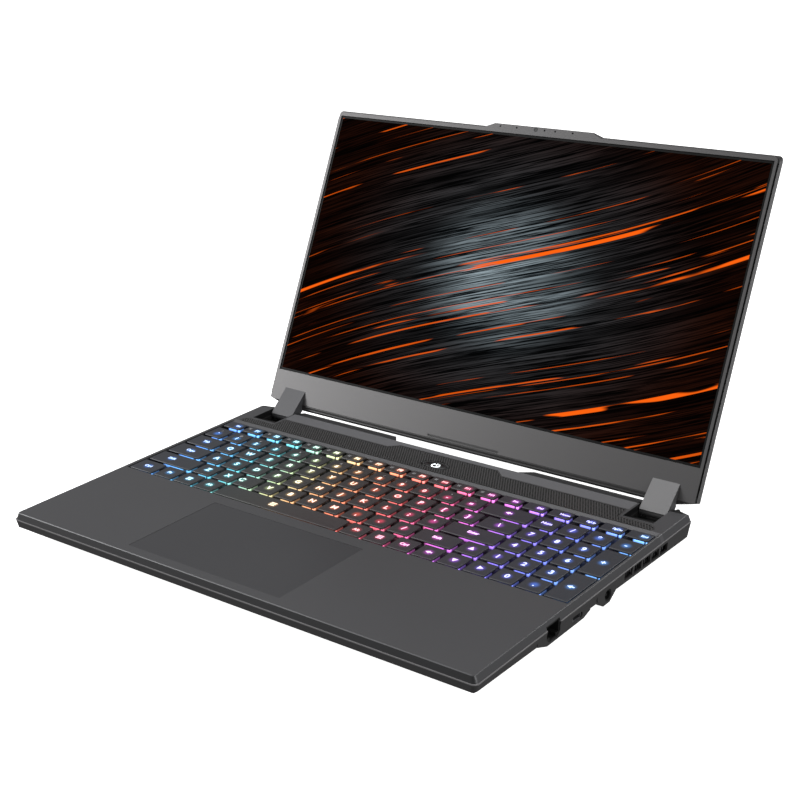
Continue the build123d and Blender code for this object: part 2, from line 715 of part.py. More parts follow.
with BuildPart() as memory_modules:
    with BuildSketch(Plane.XY.offset(BOARD_Z - 3.6)):
        with Locations((0, back(110)), (-90, back(110))):
            Rectangle(69.6, 30)
    extrude(amount=1.2)
    with BuildSketch(Plane.XY.offset(BOARD_Z - 2.4)):
        with Locations((0, back(97.5)), (-90, back(97.5))):
            Rectangle(69.6, 5)
    extrude(amount=2.4)

# the boards that plug into the motherboard
with BuildPart() as plug_in_boards:
    add(solid_state_drive.part)
    add(memory_modules.part)
save(plug_in_boards, "plug_in_boards")


def heat_pipe_lines(side):
    """Centre line of the heat pipe from a processor to its exhaust fins."""
    with BuildLine() as route:
        FilletPolyline(
            (side * -8, back(184)),
            (side * 42, back(184)),
            (side * 53, back(222)),
            (side * 117, back(222)),
            radius=16,
        )
    return route.line


with BuildPart() as heat_pipes:
    with BuildSketch(Plane.XY.offset(BOARD_Z - 3.6)):
        for side in (-1, 1):
            trace(heat_pipe_lines(side), 8)
    extrude(amount=2.4)
    with BuildSketch(Plane.XY.offset(BOARD_Z - 3.6)):
        with Locations((-24, back(178)), (26, back(178))):
            Rectangle(38, 40)
    extrude(amount=2.5)
save(heat_pipes, "heat_pipes")

FIN_PITCH = 2.5
with BuildPart() as exhaust_fins:
    with BuildSketch(Plane.XY.offset(FLOOR_Z + 3.6)):
        for side in (-1, 1):
            with Locations((side * 94.5, back(233.5))):
                with GridLocations(FIN_PITCH, 0, 23, 1):
                    Rectangle(0.7, 13)
                Rectangle(56, 1.0)
            with Locations((side * 170.8, back(177.7))):
                with GridLocations(0, FIN_PITCH, 1, 21):
                    Rectangle(8, 0.7)
                Rectangle(1.0, 51)
    extrude(amount=5.8)
save(exhaust_fins, "exhaust_fins")

with BuildPart() as fan_housings:
    with BuildSketch(Plane.XY.offset(FAN_FLOOR_Z)):
        for side in (-1, 1):
            with Locations((side * FAN_X, FAN_Y)):
                Circle(FAN_RADIUS + 3)
            with Locations((side * FAN_X, back(193))):
                Rectangle(66, 46)
    extrude(amount=FAN_HEIGHT)
    with BuildSketch(Plane.XY.offset(FAN_FLOOR_Z + 0.8)):
        for side in (-1, 1):
            with Locations((side * FAN_X, FAN_Y)):
                Circle(FAN_RADIUS + 2)
            with Locations((side * FAN_X, back(194))):
                Rectangle(64, 48)
    extrude(amount=FAN_HEIGHT - 1.6, mode=Mode.SUBTRACT)
    with BuildSketch(Plane.XY.offset(FAN_FLOOR_Z)):
        for side in (-1, 1):
            with Locations((side * FAN_X, FAN_Y)):
                Circle(21)
                Circle(9, mode=Mode.SUBTRACT)
                Rectangle(50, 4, mode=Mode.SUBTRACT)
    extrude(amount=0.8, mode=Mode.SUBTRACT)
    with BuildSketch(Plane.XY.offset(FAN_FLOOR_Z + FAN_HEIGHT - 0.8)):
        for side in (-1, 1):
            with Locations((side * FAN_X, FAN_Y)):
                Circle(20)
    extrude(amount=0.8, mode=Mode.SUBTRACT)
    with BuildSketch(Plane.XY.offset(FAN_FLOOR_Z + 0.8)):
        for side in (-1, 1):
            with Locations((side * FAN_X, FAN_Y)):
                Circle(1.2)
    extrude(amount=4.5)
save(fan_housings, "fan_housings")

BLADE_COUNT = 24
for name, side in (("fan_left", -1), ("fan_right", 1)):
    with BuildPart() as fan:
        with BuildSketch(Plane.XY.offset(FAN_FLOOR_Z + 1.2)):
            with Locations((side * FAN_X, FAN_Y)):
                Circle(12)
                with PolarLocations(20, BLADE_COUNT):
                    Rectangle(22, 0.8, rotation=22)
        extrude(amount=5.2)
        with BuildSketch(Plane.XY.offset(FAN_FLOOR_Z + 1.2)):
            with Locations((side * FAN_X, FAN_Y)):
                Circle(1.25)
        extrude(amount=4.4, mode=Mode.SUBTRACT)
    save(fan, name)

with BuildPart() as battery:
    with BuildSketch(Plane.XY.offset(FLOOR_Z + 0.4)) as pack_outline:
        rectangle_between(-112, 112, back(30), back(86))
        fillet(pack_outline.vertices(), 2)
    extrude(amount=7.4)
    with BuildSketch(Plane.XY.offset(FLOOR_Z + 7.3)):
        for index in range(1, 4):
            with Locations((-112 + index * 56, back(58))):
                Rectangle(1.2, 52)
    extrude(amount=0.5, mode=Mode.SUBTRACT)
save(battery, "battery")

with BuildPart() as speakers:
    with BuildSketch(Plane.XY.offset(FLOOR_Z + 0.4)) as speaker_outline:
        for side in (-1, 1):
            with Locations((side * 136, back(52))):
                Rectangle(36, 56)
        fillet(speaker_outline.vertices(), 3)
    extrude(amount=6.6)
    with BuildSketch(Plane.XY.offset(FLOOR_Z)):
        for side in (-1, 1):
            with Locations((side * 136, back(40))):
                SlotOverall(28, 14)
    extrude(amount=0.4)
save(speakers, "speakers")

# ---------------------------------------------------------------- hinges
DISPLAY_Y = back(252.25)  # bottom edge of the active area
DISPLAY_Z = DECK_Z + 25.5
LID_UP = (0, sin(radians(LID_LEAN)), cos(radians(LID_LEAN)))
LID_FACE = (0, -cos(radians(LID_LEAN)), sin(radians(LID_LEAN)))
# In LID_FRONT, x runs along the laptop and y up the lid, from the display's
# bottom edge.  LID_SIDE cuts across it: x runs up the lid and y out of its face.
LID_FRONT = Plane(origin=(0, DISPLAY_Y, DISPLAY_Z), x_dir=(1, 0, 0), z_dir=LID_FACE)
LID_SIDE = Plane(origin=(0, DISPLAY_Y, DISPLAY_Z), x_dir=LID_UP, z_dir=(1, 0, 0))

AXIS_FROM_DISPLAY = Vector(0, HINGE_Y - DISPLAY_Y, HINGE_Z - DISPLAY_Z)
AXIS_UP = AXIS_FROM_DISPLAY.dot(Vector(*LID_UP))
AXIS_OUT = AXIS_FROM_DISPLAY.dot(Vector(*LID_FACE))

FACE_HALF_WIDTH = 175.8
FACE_TOP = 197.9
FACE_BOTTOM = -24.2
CHAMFER_BOTTOM = -28.2
KNUCKLE_TOP = -14.2
BUMP_HEIGHT = 3.1
BUMP_BASE = 94.6
BUMP_TOP = 79.5
HOUSING_X = 2.5  # middle of the camera housing
CORNER_START_X = 158.0  # the lid's lower corners are cut from here outwards
CORNER_SLOPE = 0.26
BEZEL_THICKNESS = 1.2


def hinge_bracket(side):
    """Steel bracket in the base: a barrel round the pin, a web and a foot."""
    start = side * (PIN_END_X + 0.5)
    width = side * 17.0
    with BuildPart() as bracket:
        with BuildSketch(Plane.YZ.offset(start)):
            with Locations((HINGE_Y, HINGE_Z)):
                Circle(2.5)
            with Locations((HINGE_Y, (HINGE_Z + FLOOR_Z) / 2)):
                Rectangle(2.6, HINGE_Z - FLOOR_Z)
            rectangle_between(back(220), HINGE_Y + 1.3, FLOOR_Z, FLOOR_Z + 1.6)
            with Locations((HINGE_Y, HINGE_Z)):
                Circle(PIN_RADIUS + PIN_CLEARANCE, mode=Mode.SUBTRACT)
        extrude(amount=width)
    return bracket


def hinge_arm(side):
    """Steel pin and arm: the pin turns in the bracket, the arm holds the lid."""
    plate_start = side * 148.0
    with BuildPart() as arm:
        with BuildSketch(LID_SIDE.offset(side * PIN_END_X)):
            with Locations((AXIS_UP, AXIS_OUT)):
                Circle(PIN_RADIUS)
        extrude(amount=side * 37.5)
        with BuildSketch(LID_SIDE.offset(plate_start)):
            with Locations((AXIS_UP, AXIS_OUT)):
                Circle(2.6)
            Polygon(
                (AXIS_UP - 0.6, AXIS_OUT - 2.5),
                (AXIS_UP + 0.8, AXIS_OUT + 2.4),
                (-23.0, -1.6),
                (-21.0, -3.7),
                (14.0, -3.7),
                (14.0, -5.0),
                (-24.0, -5.0),
                align=None,
            )
        extrude(amount=side * 12.0)
    return arm


bracket_left = hinge_bracket(-1)
save(bracket_left, "hinge_bracket_left")
bracket_right = hinge_bracket(1)
save(bracket_right, "hinge_bracket_right")
arm_left = hinge_arm(-1)
save(arm_left, "hinge_arm_left")
arm_right = hinge_arm(1)
save(arm_right, "hinge_arm_right")


# ---------------------------------------------------------------- lid
def housing_outline(top, bump):
    """The camera housing's four corners on the lid's top edge, right to left."""
    base = [(HOUSING_X + side * BUMP_BASE / 2, top) for side in (1, -1)]
    crest = [(HOUSING_X + side * BUMP_TOP / 2, top + bump) for side in (1, -1)]
    return [base[0], *crest, base[1]]


TOP_CORNER_RADIUS = 3.0


def top_corner(half_width, top):
    """The lid's rounded right-hand top corner, from its side to its top edge."""
    points = []
    for angle in (0, 22.5, 45, 67.5, 90):
        x = half_width + TOP_CORNER_RADIUS * (cos(radians(angle)) - 1)
        points.append((x, top + TOP_CORNER_RADIUS * (sin(radians(angle)) - 1)))
    return points


def lid_outline(half_width, bottom, top, bump, shrink=0):
    """The lid's outline at one depth, with its cut lower corners and the camera housing."""
    corner_x = CORNER_START_X + (bottom - CHAMFER_BOTTOM) / CORNER_SLOPE - shrink
    corner_y = CHAMFER_BOTTOM + (half_width - CORNER_START_X) * CORNER_SLOPE + shrink
    right = [(corner_x, bottom), (half_width, corner_y), *top_corner(half_width, top)]
    left = [(-x, y) for x, y in reversed(right)]
    return [*right, *housing_outline(top, bump), *left]


def lid_shell(shrink):
    """The back cover's outer form, or its hollow where shrink is the wall."""
    deepest = LID_THICKNESS - shrink
    levels = (
        (BEZEL_THICKNESS, 176.6, CHAMFER_BOTTOM + 1.2, 198.6, BUMP_HEIGHT),
        (2.8, 178.0, CHAMFER_BOTTOM, 199.4, BUMP_HEIGHT - 0.6),
        (4.6, 177.4, CHAMFER_BOTTOM + 0.2, 199.0, BUMP_HEIGHT - 1.2),
        (deepest, 174.4, CHAMFER_BOTTOM + 2.6, 196.4, BUMP_HEIGHT - 2.0),
    )
    with BuildPart() as shell:
        for depth, half_width, bottom, top, bump in levels:
            with BuildSketch(LID_FRONT.offset(-depth)):
                outline = lid_outline(half_width - shrink, bottom + shrink, top - shrink, bump, shrink)
                Polygon(*outline, align=None)
        loft(ruled=True)
    return shell


lid_outer = lid_shell(0)
lid_hollow = lid_shell(1.3)

with BuildPart() as lid_back_cover:
    add(lid_outer.part)
    add(lid_hollow.part, mode=Mode.SUBTRACT)
    add(arm_left.part, mode=Mode.SUBTRACT)
    add(arm_right.part, mode=Mode.SUBTRACT)
save(lid_back_cover, "lid_back_cover")

LENS_X = -2.4
LENS_UP = 199.5
LENS_RADIUS = 1.2
MICROPHONE_PLACES = (-31.6, -18.0, 4.7, 13.1, 27.0)
MICROPHONE_RADIUS = 0.45
BORDER = 1.7  # the display's black border outside the active area
CHIN_SLOT_WIDTH = 59.0
with BuildPart() as bezel:
    with BuildSketch(LID_FRONT.offset(-BEZEL_THICKNESS)):
        Polygon(*lid_outline(FACE_HALF_WIDTH, CHAMFER_BOTTOM + 1.8, 197.9, BUMP_HEIGHT), align=None)
    with BuildSketch(LID_FRONT):
        Polygon(*lid_outline(FACE_HALF_WIDTH, FACE_BOTTOM, FACE_TOP, BUMP_HEIGHT), align=None)
    loft(ruled=True)
    with BuildSketch(LID_FRONT):
        edge = DISPLAY_WIDTH / 2 + BORDER
        rectangle_between(-edge, edge, -BORDER, DISPLAY_HEIGHT + BORDER)
    extrude(amount=-2 * BEZEL_THICKNESS, mode=Mode.SUBTRACT)
    # shallow slot above the lower edge of the chin
    with BuildSketch(LID_FRONT):
        with Locations((0, -22.6)):
            Rectangle(CHIN_SLOT_WIDTH, 1.4)
    extrude(amount=-0.6, mode=Mode.SUBTRACT)
    # window for the camera lens
    with BuildSketch(LID_FRONT):
        with Locations((LENS_X, LENS_UP)):
            Circle(LENS_RADIUS)
        with Locations(*[(x, LENS_UP) for x in MICROPHONE_PLACES]):
            Circle(MICROPHONE_RADIUS)
    extrude(amount=-2 * BEZEL_THICKNESS, mode=Mode.SUBTRACT)
    add(arm_left.part, mode=Mode.SUBTRACT)
    add(arm_right.part, mode=Mode.SUBTRACT)
save(bezel, "bezel")

PANEL_DEPTH = 0.6
with BuildPart() as lcd_panel:
    with BuildSketch(LID_FRONT.offset(-PANEL_DEPTH)):
        edge = DISPLAY_WIDTH / 2 + BORDER - 0.3
        rectangle_between(-edge, edge, 0.3 - BORDER, DISPLAY_HEIGHT + BORDER - 0.3)
    extrude(amount=-2.6)
save(lcd_panel, "lcd_panel")

with BuildPart() as display_screen:
    with BuildSketch(LID_FRONT.offset(-PANEL_DEPTH)):
        rectangle_between(-DISPLAY_WIDTH / 2, DISPLAY_WIDTH / 2, 0, DISPLAY_HEIGHT)
    extrude(amount=0.15)
save(display_screen, "display_screen")

with BuildPart() as camera_module:
    with BuildSketch(LID_FRONT.offset(-4.4)):
        with Locations((0, 197.0)):
            Rectangle(70, 3.0)
    extrude(amount=0.8)
    with BuildSketch(LID_FRONT.offset(-3.6)):
        with Locations((LENS_X, 197.5)):
            Rectangle(5.0, 3.8)
    extrude(amount=2.4)
    with BuildSketch(LID_FRONT.offset(-BEZEL_THICKNESS)):
        with Locations((LENS_X, LENS_UP)):
            Circle(LENS_RADIUS)
    extrude(amount=BEZEL_THICKNESS - 0.1)
save(camera_module, "camera_module")

for name, side in (("hinge_cover_left", -1), ("hinge_cover_right", 1)):
    arm = arm_right if side > 0 else arm_left
    with BuildPart() as hinge_cover:
        with BuildSketch(LID_SIDE.offset(side * HINGE_INNER_X)):
            with Locations((AXIS_UP, AXIS_OUT)):
                Circle(KNUCKLE_RADIUS)
            Polygon(
                (KNUCKLE_TOP, 0),
                (FACE_BOTTOM, 0),
                (CHAMFER_BOTTOM + 1.4, -BEZEL_THICKNESS),
                (CHAMFER_BOTTOM - 0.4, -2.0),
                (AXIS_UP - 2.6, AXIS_OUT - 2.9),
                (AXIS_UP, AXIS_OUT),
                (AXIS_UP - 2.9, AXIS_OUT + 2.6),
                (AXIS_UP - 0.26, AXIS_OUT + 4.39),
                align=None,
            )
        extrude(amount=side * (HINGE_OUTER_X - HINGE_INNER_X))
        add(lid_outer.part, mode=Mode.SUBTRACT)
        add(arm.part, mode=Mode.SUBTRACT)
    save(hinge_cover, name)
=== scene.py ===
"""Looks for an open gaming laptop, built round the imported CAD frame."""

import json
from math import cos, pi, radians, sin

import bpy
import bmesh
from mathutils import Matrix, Vector
from mathutils.geometry import tessellate_polygon


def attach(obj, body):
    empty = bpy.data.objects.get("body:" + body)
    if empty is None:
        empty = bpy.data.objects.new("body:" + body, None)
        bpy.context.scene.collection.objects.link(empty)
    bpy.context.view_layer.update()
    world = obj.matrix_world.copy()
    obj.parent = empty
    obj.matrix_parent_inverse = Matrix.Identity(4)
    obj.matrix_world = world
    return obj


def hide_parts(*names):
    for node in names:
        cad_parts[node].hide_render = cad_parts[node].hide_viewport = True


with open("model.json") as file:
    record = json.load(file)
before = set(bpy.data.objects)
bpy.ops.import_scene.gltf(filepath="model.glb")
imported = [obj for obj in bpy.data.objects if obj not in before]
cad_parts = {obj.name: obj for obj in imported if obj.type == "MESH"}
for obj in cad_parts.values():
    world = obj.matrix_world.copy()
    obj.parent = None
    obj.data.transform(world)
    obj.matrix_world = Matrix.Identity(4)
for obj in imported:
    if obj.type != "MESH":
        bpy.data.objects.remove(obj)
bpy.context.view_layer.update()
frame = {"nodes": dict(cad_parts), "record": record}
nodes = frame["nodes"]
scene = bpy.context.scene
MM = 0.001

# ------------------------------------------------------------------ camera
camera = bpy.data.objects.new("camera", bpy.data.cameras.new("camera"))
camera.location = (0.548479, -0.710578, 0.408737)
camera.rotation_euler = [radians(a) for a in (69.7524, 1.4288, 37.0790)]
camera.data.lens = 67.473
camera.data.sensor_width = 36
scene.collection.objects.link(camera)
scene.camera = camera
scene.view_settings.view_transform = "Standard"

# ------------------------------------------------------------------ layout shared with the CAD model, in mm
FRONT_Y = -171.1
DECK_Z = 18.2
RIDGE_Z = DECK_Z - 4.3
LEAN = radians(25.6)
DISPLAY_Y = FRONT_Y + 252.25
DISPLAY_Z = DECK_Z + 25.5
FACE_SIDE = 175.8
PITCH_X = 18.33
PITCH_Y = 18.1
FIRST_X = -164.1
ROW0_Y = 190.6
ROW1_Y = 173.6
GAP = 3.0
FN_DEPTH = 9.7
SPACE_COLUMN = 4.25
MESH_SIDE = 142
WELL_START, WELL_INNER, WELL_OUTER = 209.0, 141, 172


def back(distance):
    """Y of a point this far behind the deck's front edge, in mm."""
    return FRONT_Y + distance


# ------------------------------------------------------------------ node helpers
class Value:
    """A node socket that can be used in arithmetic."""

    def __init__(self, graph, socket):
        self.graph = graph
        self.socket = socket

    def _make(self, operation, *others):
        return self.graph.math(operation, self, *others)

    def __add__(self, other):
        return self._make("ADD", other)

    def __radd__(self, other):
        return self.graph.math("ADD", other, self)

    def __sub__(self, other):
        return self._make("SUBTRACT", other)

    def __rsub__(self, other):
        return self.graph.math("SUBTRACT", other, self)

    def __mul__(self, other):
        return self._make("MULTIPLY", other)

    def __rmul__(self, other):
        return self.graph.math("MULTIPLY", other, self)

    def __gt__(self, other):
        return self._make("GREATER_THAN", other)

    def __lt__(self, other):
        return self._make("LESS_THAN", other)

    def abs(self):
        return self._make("ABSOLUTE")


class Graph:
    """A material's node tree, with short calls for the nodes used here."""

    def __init__(self, name):
        self.material = bpy.data.materials.new(name)
        self.material.use_nodes = True
        self.tree = self.material.node_tree
        self.tree.nodes.clear()
        self.output = self.tree.nodes.new("ShaderNodeOutputMaterial")

    def put(self, socket, value):
        if isinstance(value, Value):
            self.tree.links.new(value.socket, socket)
        elif hasattr(socket.default_value, "__len__") and not hasattr(value, "__len__"):
            socket.default_value = [value] * len(socket.default_value)
        elif hasattr(value, "__len__") and len(value) == 3 and len(socket.default_value) == 4:
            socket.default_value = (*value, 1)
        else:
            socket.default_value = value

    def node(self, kind, inputs=None, out=0, **settings):
        n = self.tree.nodes.new(kind)
        for key, value in settings.items():
            setattr(n, key, value)
        for key, value in (inputs or {}).items():
            self.put(n.inputs[key], value)
        return Value(self, n.outputs[out])

    def math(self, operation, *values):
        return self.node("ShaderNodeMath", dict(enumerate(values)), operation=operation)

    def step(self, value, low, high, smooth=True):
        kind = "SMOOTHSTEP" if smooth else "LINEAR"
        inputs = {"Value": value, "From Min": low, "From Max": high}
        return self.node("ShaderNodeMapRange", inputs, interpolation_type=kind)

    def position(self):
        return self.node("ShaderNodeTexCoord", out="Object")

    def split(self, vector):
        n = self.tree.nodes.new("ShaderNodeSeparateXYZ")
        self.put(n.inputs[0], vector)
        return [Value(self, s) for s in n.outputs]

    def join(self, x, y, z=0.0):
        return self.node("ShaderNodeCombineXYZ", {0: x, 1: y, 2: z})

    def noise(self, vector, scale, detail=2.0, rough=0.5):
        inputs = {"Vector": vector, "Scale": scale, "Detail": detail, "Roughness": rough}
        return self.node("ShaderNodeTexNoise", inputs, out=0)

    def ramp(self, value, stops, interpolation="LINEAR"):
        n = self.tree.nodes.new("ShaderNodeValToRGB")
        n.color_ramp.interpolation = interpolation
        self.put(n.inputs[0], value)
        elements = n.color_ramp.elements
        while len(elements) < len(stops):
            elements.new(0.5)
        for element, (place, colour) in zip(elements, stops):
            element.position = place
            colour = colour if hasattr(colour, "__len__") else (colour, colour, colour)
            element.color = (*colour, 1)
        return Value(self, n.outputs[0])

    def mix(self, factor, a, b, blend="MIX"):
        n = self.tree.nodes.new("ShaderNodeMix")
        n.data_type = "RGBA"
        n.blend_type = blend
        n.clamp_factor = True
        for index, value in ((0, factor), (6, a), (7, b)):
            self.put(n.inputs[index], value)
        return Value(self, n.outputs[2])

    def bump(self, height, strength, distance=0.0002):
        inputs = {"Height": height, "Strength": strength, "Distance": distance}
        return self.node("ShaderNodeBump", inputs)

    def surface(self, **inputs):
        n = self.tree.nodes.new("ShaderNodeBsdfPrincipled")
        for key, value in inputs.items():
            self.put(n.inputs[key.replace("_", " ")], value)
        self.tree.links.new(n.outputs[0], self.output.inputs[0])
        return self.material


def finish_as(
    name,
    colour,
    rough=0.5,
    metallic=0.0,
    grain=2500,
    grain_bump=0.25,
    spread=0.12,
    coat=0.0,
    specular=0.5,
    shade=None,
):
    """A fine-grained finish: colour and roughness vary a little, and a bump gives the grain."""
    g = Graph(name)
    p = g.position()
    fine = g.noise(p, grain, 3)
    broad = g.noise(p, 14, 2)
    tone = g.mix(fine, [c * (1 - spread) for c in colour], [c * (1 + spread) for c in colour])
    tone = g.mix(g.step(broad, 0.3, 0.7), tone, g.mix(0.5, tone, [c * (1 + spread / 2) for c in colour]))
    # The optional shade function multiplies painted highlights and painted shade into the colour.
    if shade:
        tone = g.mix(1.0, tone, shade(g, *g.split(p)), blend="MULTIPLY")
    return g.surface(
        Base_Color=tone,
        Roughness=g.step(fine, 0, 1, False) * 0.12 + (rough - 0.06),
        Metallic=metallic,
        Coat_Weight=coat,
        Specular_IOR_Level=specular,
        Normal=g.bump(fine, grain_bump, 0.00005),
    )


# ------------------------------------------------------------------ mesh helpers
def object_from(name, mesh, material, body, smooth=False):
    piece = bpy.data.objects.new(name, mesh)
    scene.collection.objects.link(piece)
    for m in material if isinstance(material, list) else [material]:
        mesh.materials.append(m)
    if smooth:
        mesh.shade_smooth()
    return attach(piece, body)


def mesh_from(name, build):
    """A mesh made by build(bm), with its vertices given in mm."""
    bm = bmesh.new()
    build(bm)
    bmesh.ops.scale(bm, vec=(MM, MM, MM), verts=bm.verts)
    mesh = bpy.data.meshes.new(name)
    bm.to_mesh(mesh)
    bm.free()
    return mesh


def ring(bm, points, z):
    return [bm.verts.new((x, y, z)) for x, y in points]


def bridge(bm, lower, upper):
    count = len(lower)
    for i in range(count):
        j = (i + 1) % count
        bm.faces.new((lower[i], lower[j], upper[j], upper[i]))


def prism(bm, lower, upper):
    """Walls between two rings of vertices, with a face on each."""
    bridge(bm, lower, upper)
    bm.faces.new(upper)
    bm.faces.new(lower[::-1])


def rounded(x, y, width, depth, radius, segments=4):
    """Anticlockwise outline of a rounded rectangle."""
    points = []
    for cx, cy, start in ((1, 1, 0), (-1, 1, 90), (-1, -1, 180), (1, -1, 270)):
        for k in range(segments + 1):
            a = radians(start + 90 * k / segments)
            px = x + cx * (width / 2 - radius) + radius * cos(a)
            py = y + cy * (depth / 2 - radius) + radius * sin(a)
            points.append((px, py))
    return points


# ------------------------------------------------------------------ finishes
def in_well(y, across):
    """Inside a hinge well, seen from above."""
    return (y > back(WELL_START)) * (across > WELL_INNER) * (across < WELL_OUTER)


def up_the_lid(y, z):
    """Height up the lid from the display's lower edge, in mm, from a position in metres."""
    return ((y - DISPLAY_Y * MM) * sin(LEAN) + (z - DISPLAY_Z * MM) * cos(LEAN)) * 1000


LENS = (-2.4, 1.5)
MICROPHONES = [(place, 0.7) for place in (-31.6, -18.0, 4.7, 13.1, 27.0)]
LENS_LINE = 199.5


def deck_painted_light(g, x, y, z):
    """Painted light and shade on the deck: painted highlights behind the mesh, behind the function keys and
    along the edge; painted shade on the rear slope and the front band, and painted black in the hinge wells.
    """
    y, z, across = y * 1000, z * 1000, x.abs() * 1000
    behind_mesh = (y > back(219.8)) * (y < back(231.3)) * (across < MESH_SIDE)
    behind_keys = (y > back(196.0)) * (y < back(199.6))
    slope = (y > back(231.3)) * (across < MESH_SIDE)
    well = in_well(y, across) * (z < DECK_Z - 0.15)
    at_side = g.math("MAXIMUM", across > 175.0, y < FRONT_Y + 0.6)
    edge = (z > DECK_Z - 0.5) * (z < DECK_Z - 0.02) * at_side
    front = (z < DECK_Z - 0.5) * (y < FRONT_Y + 0.6)
    tone = behind_mesh * 1.1 + behind_keys * 0.4 + edge * 0.1 + 1 - slope * 0.45 - front * 0.55
    return tone * (1 - well * 0.88)


def shell_painted_light(g, x, y, z):
    """Painted shade: the walls of the hinge wells are painted black. Painted highlight: the ledge along the
    ridge line is painted paler.
    """
    y, z, across = y * 1000, z * 1000, x.abs() * 1000
    well = in_well(y, across) * (z < DECK_Z - 0.5)
    ridge = (z > RIDGE_Z - 0.65) * (y < back(238))
    return (1 - well * 0.85) * (1 + ridge * 4.5)


def lid_spots(g, x, y, z):
    """The camera lens is black, and the microphone holes are painted black as painted shade in place of
    holes.
    """
    u, v = x * 1000, up_the_lid(y, z)
    mask = 1.0
    for place, radius in [LENS] + MICROPHONES:
        away = g.math("SQRT", (u - place) * (u - place) + (v - LENS_LINE) * (v - LENS_LINE))
        mask = g.math("MINIMUM", mask, g.step(away, radius - 0.1, radius + 0.1, False))
    return mask


GREY = (0.074, 0.074, 0.078)
coarse_paint = {"grain": 3200, "grain_bump": 0.3}
fine_paint = {"grain": 3200, "grain_bump": 0.2}
moulded = {"grain": 2600, "grain_bump": 0.3}
paint = finish_as("paint_dark_grey", GREY, 0.42, 0.35, **coarse_paint)
# The deck's paint has painted highlights and painted shade multiplied into it.
paint_deck = finish_as("paint_deck", GREY, 0.42, 0.35, **coarse_paint, shade=deck_painted_light)
# The back cover's paint is a darker copy of the case paint: painted shade on the lid's edges.
paint_back_painted_shade = finish_as("paint_back_painted_shade", (0.042, 0.041, 0.042), 0.42, 0.4, **fine_paint)
paint_bezel = finish_as("paint_bezel", (0.080, 0.078, 0.079), 0.40, 0.55, **fine_paint, shade=lid_spots)
# A paler copy of the paint for the right hinge cover only: painted light.
paint_hinge_painted_light = finish_as("paint_hinge_painted_light", (0.125, 0.124, 0.126), 0.42, 0.5, **coarse_paint)
# The shell's plastic has painted shade in the hinge wells and a painted highlight along the ridge.
plastic_shell = finish_as(
    "plastic_shell", (0.035, 0.034, 0.035), 0.5, grain=2600, grain_bump=0.35, shade=shell_painted_light
)
pad_finish = finish_as("pad_satin", (0.056, 0.056, 0.060), 0.36, 0.3, grain=4200, grain_bump=0.12)
rubber = finish_as("rubber", (0.012, 0.012, 0.012), rough=0.85, grain=1200, grain_bump=0.5)
black_plastic = finish_as("black_plastic", (0.008, 0.008, 0.008), rough=0.45, **moulded)
button_gloss = finish_as("button_gloss", (0.010, 0.010, 0.011), 0.3, grain=2600, grain_bump=0.05, coat=0.3)
steel = finish_as("plated_steel", (0.50, 0.50, 0.52), rough=0.3, metallic=1.0, grain=900, grain_bump=0.1)
machined = finish_as("machined_steel", (0.22, 0.22, 0.23), 0.4, 1.0, grain=700, grain_bump=0.2)
panel_black = finish_as("panel_border", (0.004,) * 3, 0.5, grain=2600, grain_bump=0.05, specular=0.1)
# Painted shade for the groove beside the bezel.
groove_painted_shade = finish_as("groove_painted_shade", (0.004,) * 3, 0.9, grain=1200, grain_bump=0.5, specular=0.1)
# Painted shade: the walls and floors of the grille's pockets are dark.
pocket_painted_shade = finish_as("pocket_dark", (0.026, 0.026, 0.026), rough=0.6, **moulded)
board_green = finish_as("solder_mask", (0.006, 0.045, 0.02), rough=0.35, grain=700, grain_bump=0.3)
copper = finish_as("copper", (0.62, 0.28, 0.16), rough=0.3, metallic=1.0, grain=500, grain_bump=0.1)
fin_metal = finish_as("fin_metal", (0.30, 0.30, 0.31), rough=0.35, metallic=1.0, grain=500, grain_bump=0.1)
fan_black = finish_as("fan_plastic", (0.015, 0.015, 0.016), rough=0.5, grain=1800, grain_bump=0.2)
film = finish_as("battery_film", (0.02, 0.02, 0.022), rough=0.3, grain=300, grain_bump=0.2)
plate_black = finish_as("key_plate", (0.006, 0.006, 0.007), rough=0.5, **moulded)

FINISHES = {
    "case_paint": paint,
    "case_plastic": plastic_shell,
    "key_plastic": plate_black,
    "pad_surface": pad_finish,
    "button_plastic": button_gloss,
    "grille_plastic": black_plastic,
    "rubber_foot": rubber,
    "port_plastic": black_plastic,
    "port_steel": steel,
    "hinge_steel": machined,
    "panel_frame": panel_black,
    "screen_surface": panel_black,
    "circuit_board": board_green,
    "fin_copper": copper,
    "fin_aluminium": fin_metal,
    "fan_plastic": fan_black,
    "battery_wrap": film,
    "speaker_plastic": fan_black,
}
slots = {s["node"]: s["material_slot"] for s in frame["record"]["subparts"]}
for name, node in nodes.items():
    node.data.materials.clear()
    node.data.materials.append(FINISHES[slots[name]])
special = {
    "lid_back_cover": paint_back_painted_shade,
    "bezel": paint_bezel,
    "top_case": paint_deck,
    "hinge_cover_right": paint_hinge_painted_light,
}
for name, finish in special.items():
    nodes[name].data.materials[0] = finish

# ------------------------------------------------------------------ backlight colours
LIGHT_STOPS = [
    (0.00, (0.04, 0.22, 1.00)),
    (0.09, (0.04, 0.42, 1.00)),
    (0.20, (0.05, 0.65, 0.75)),
    (0.29, (0.55, 0.75, 0.35)),
    (0.37, (1.00, 0.50, 0.16)),
    (0.46, (1.00, 0.20, 0.05)),
    (0.55, (1.00, 0.06, 0.07)),
    (0.63, (1.00, 0.05, 0.30)),
    (0.71, (0.80, 0.08, 0.85)),
    (0.80, (0.25, 0.10, 1.00)),
    (0.90, (0.08, 0.17, 1.00)),
    (1.00, (0.07, 0.38, 1.00)),
]


def light_colour(g):
    """The backlight's colour from left to right across the keyboard."""
    x = g.split(g.position())[0]
    return g.ramp(g.step(x, -0.172, 0.172, False), LIGHT_STOPS)


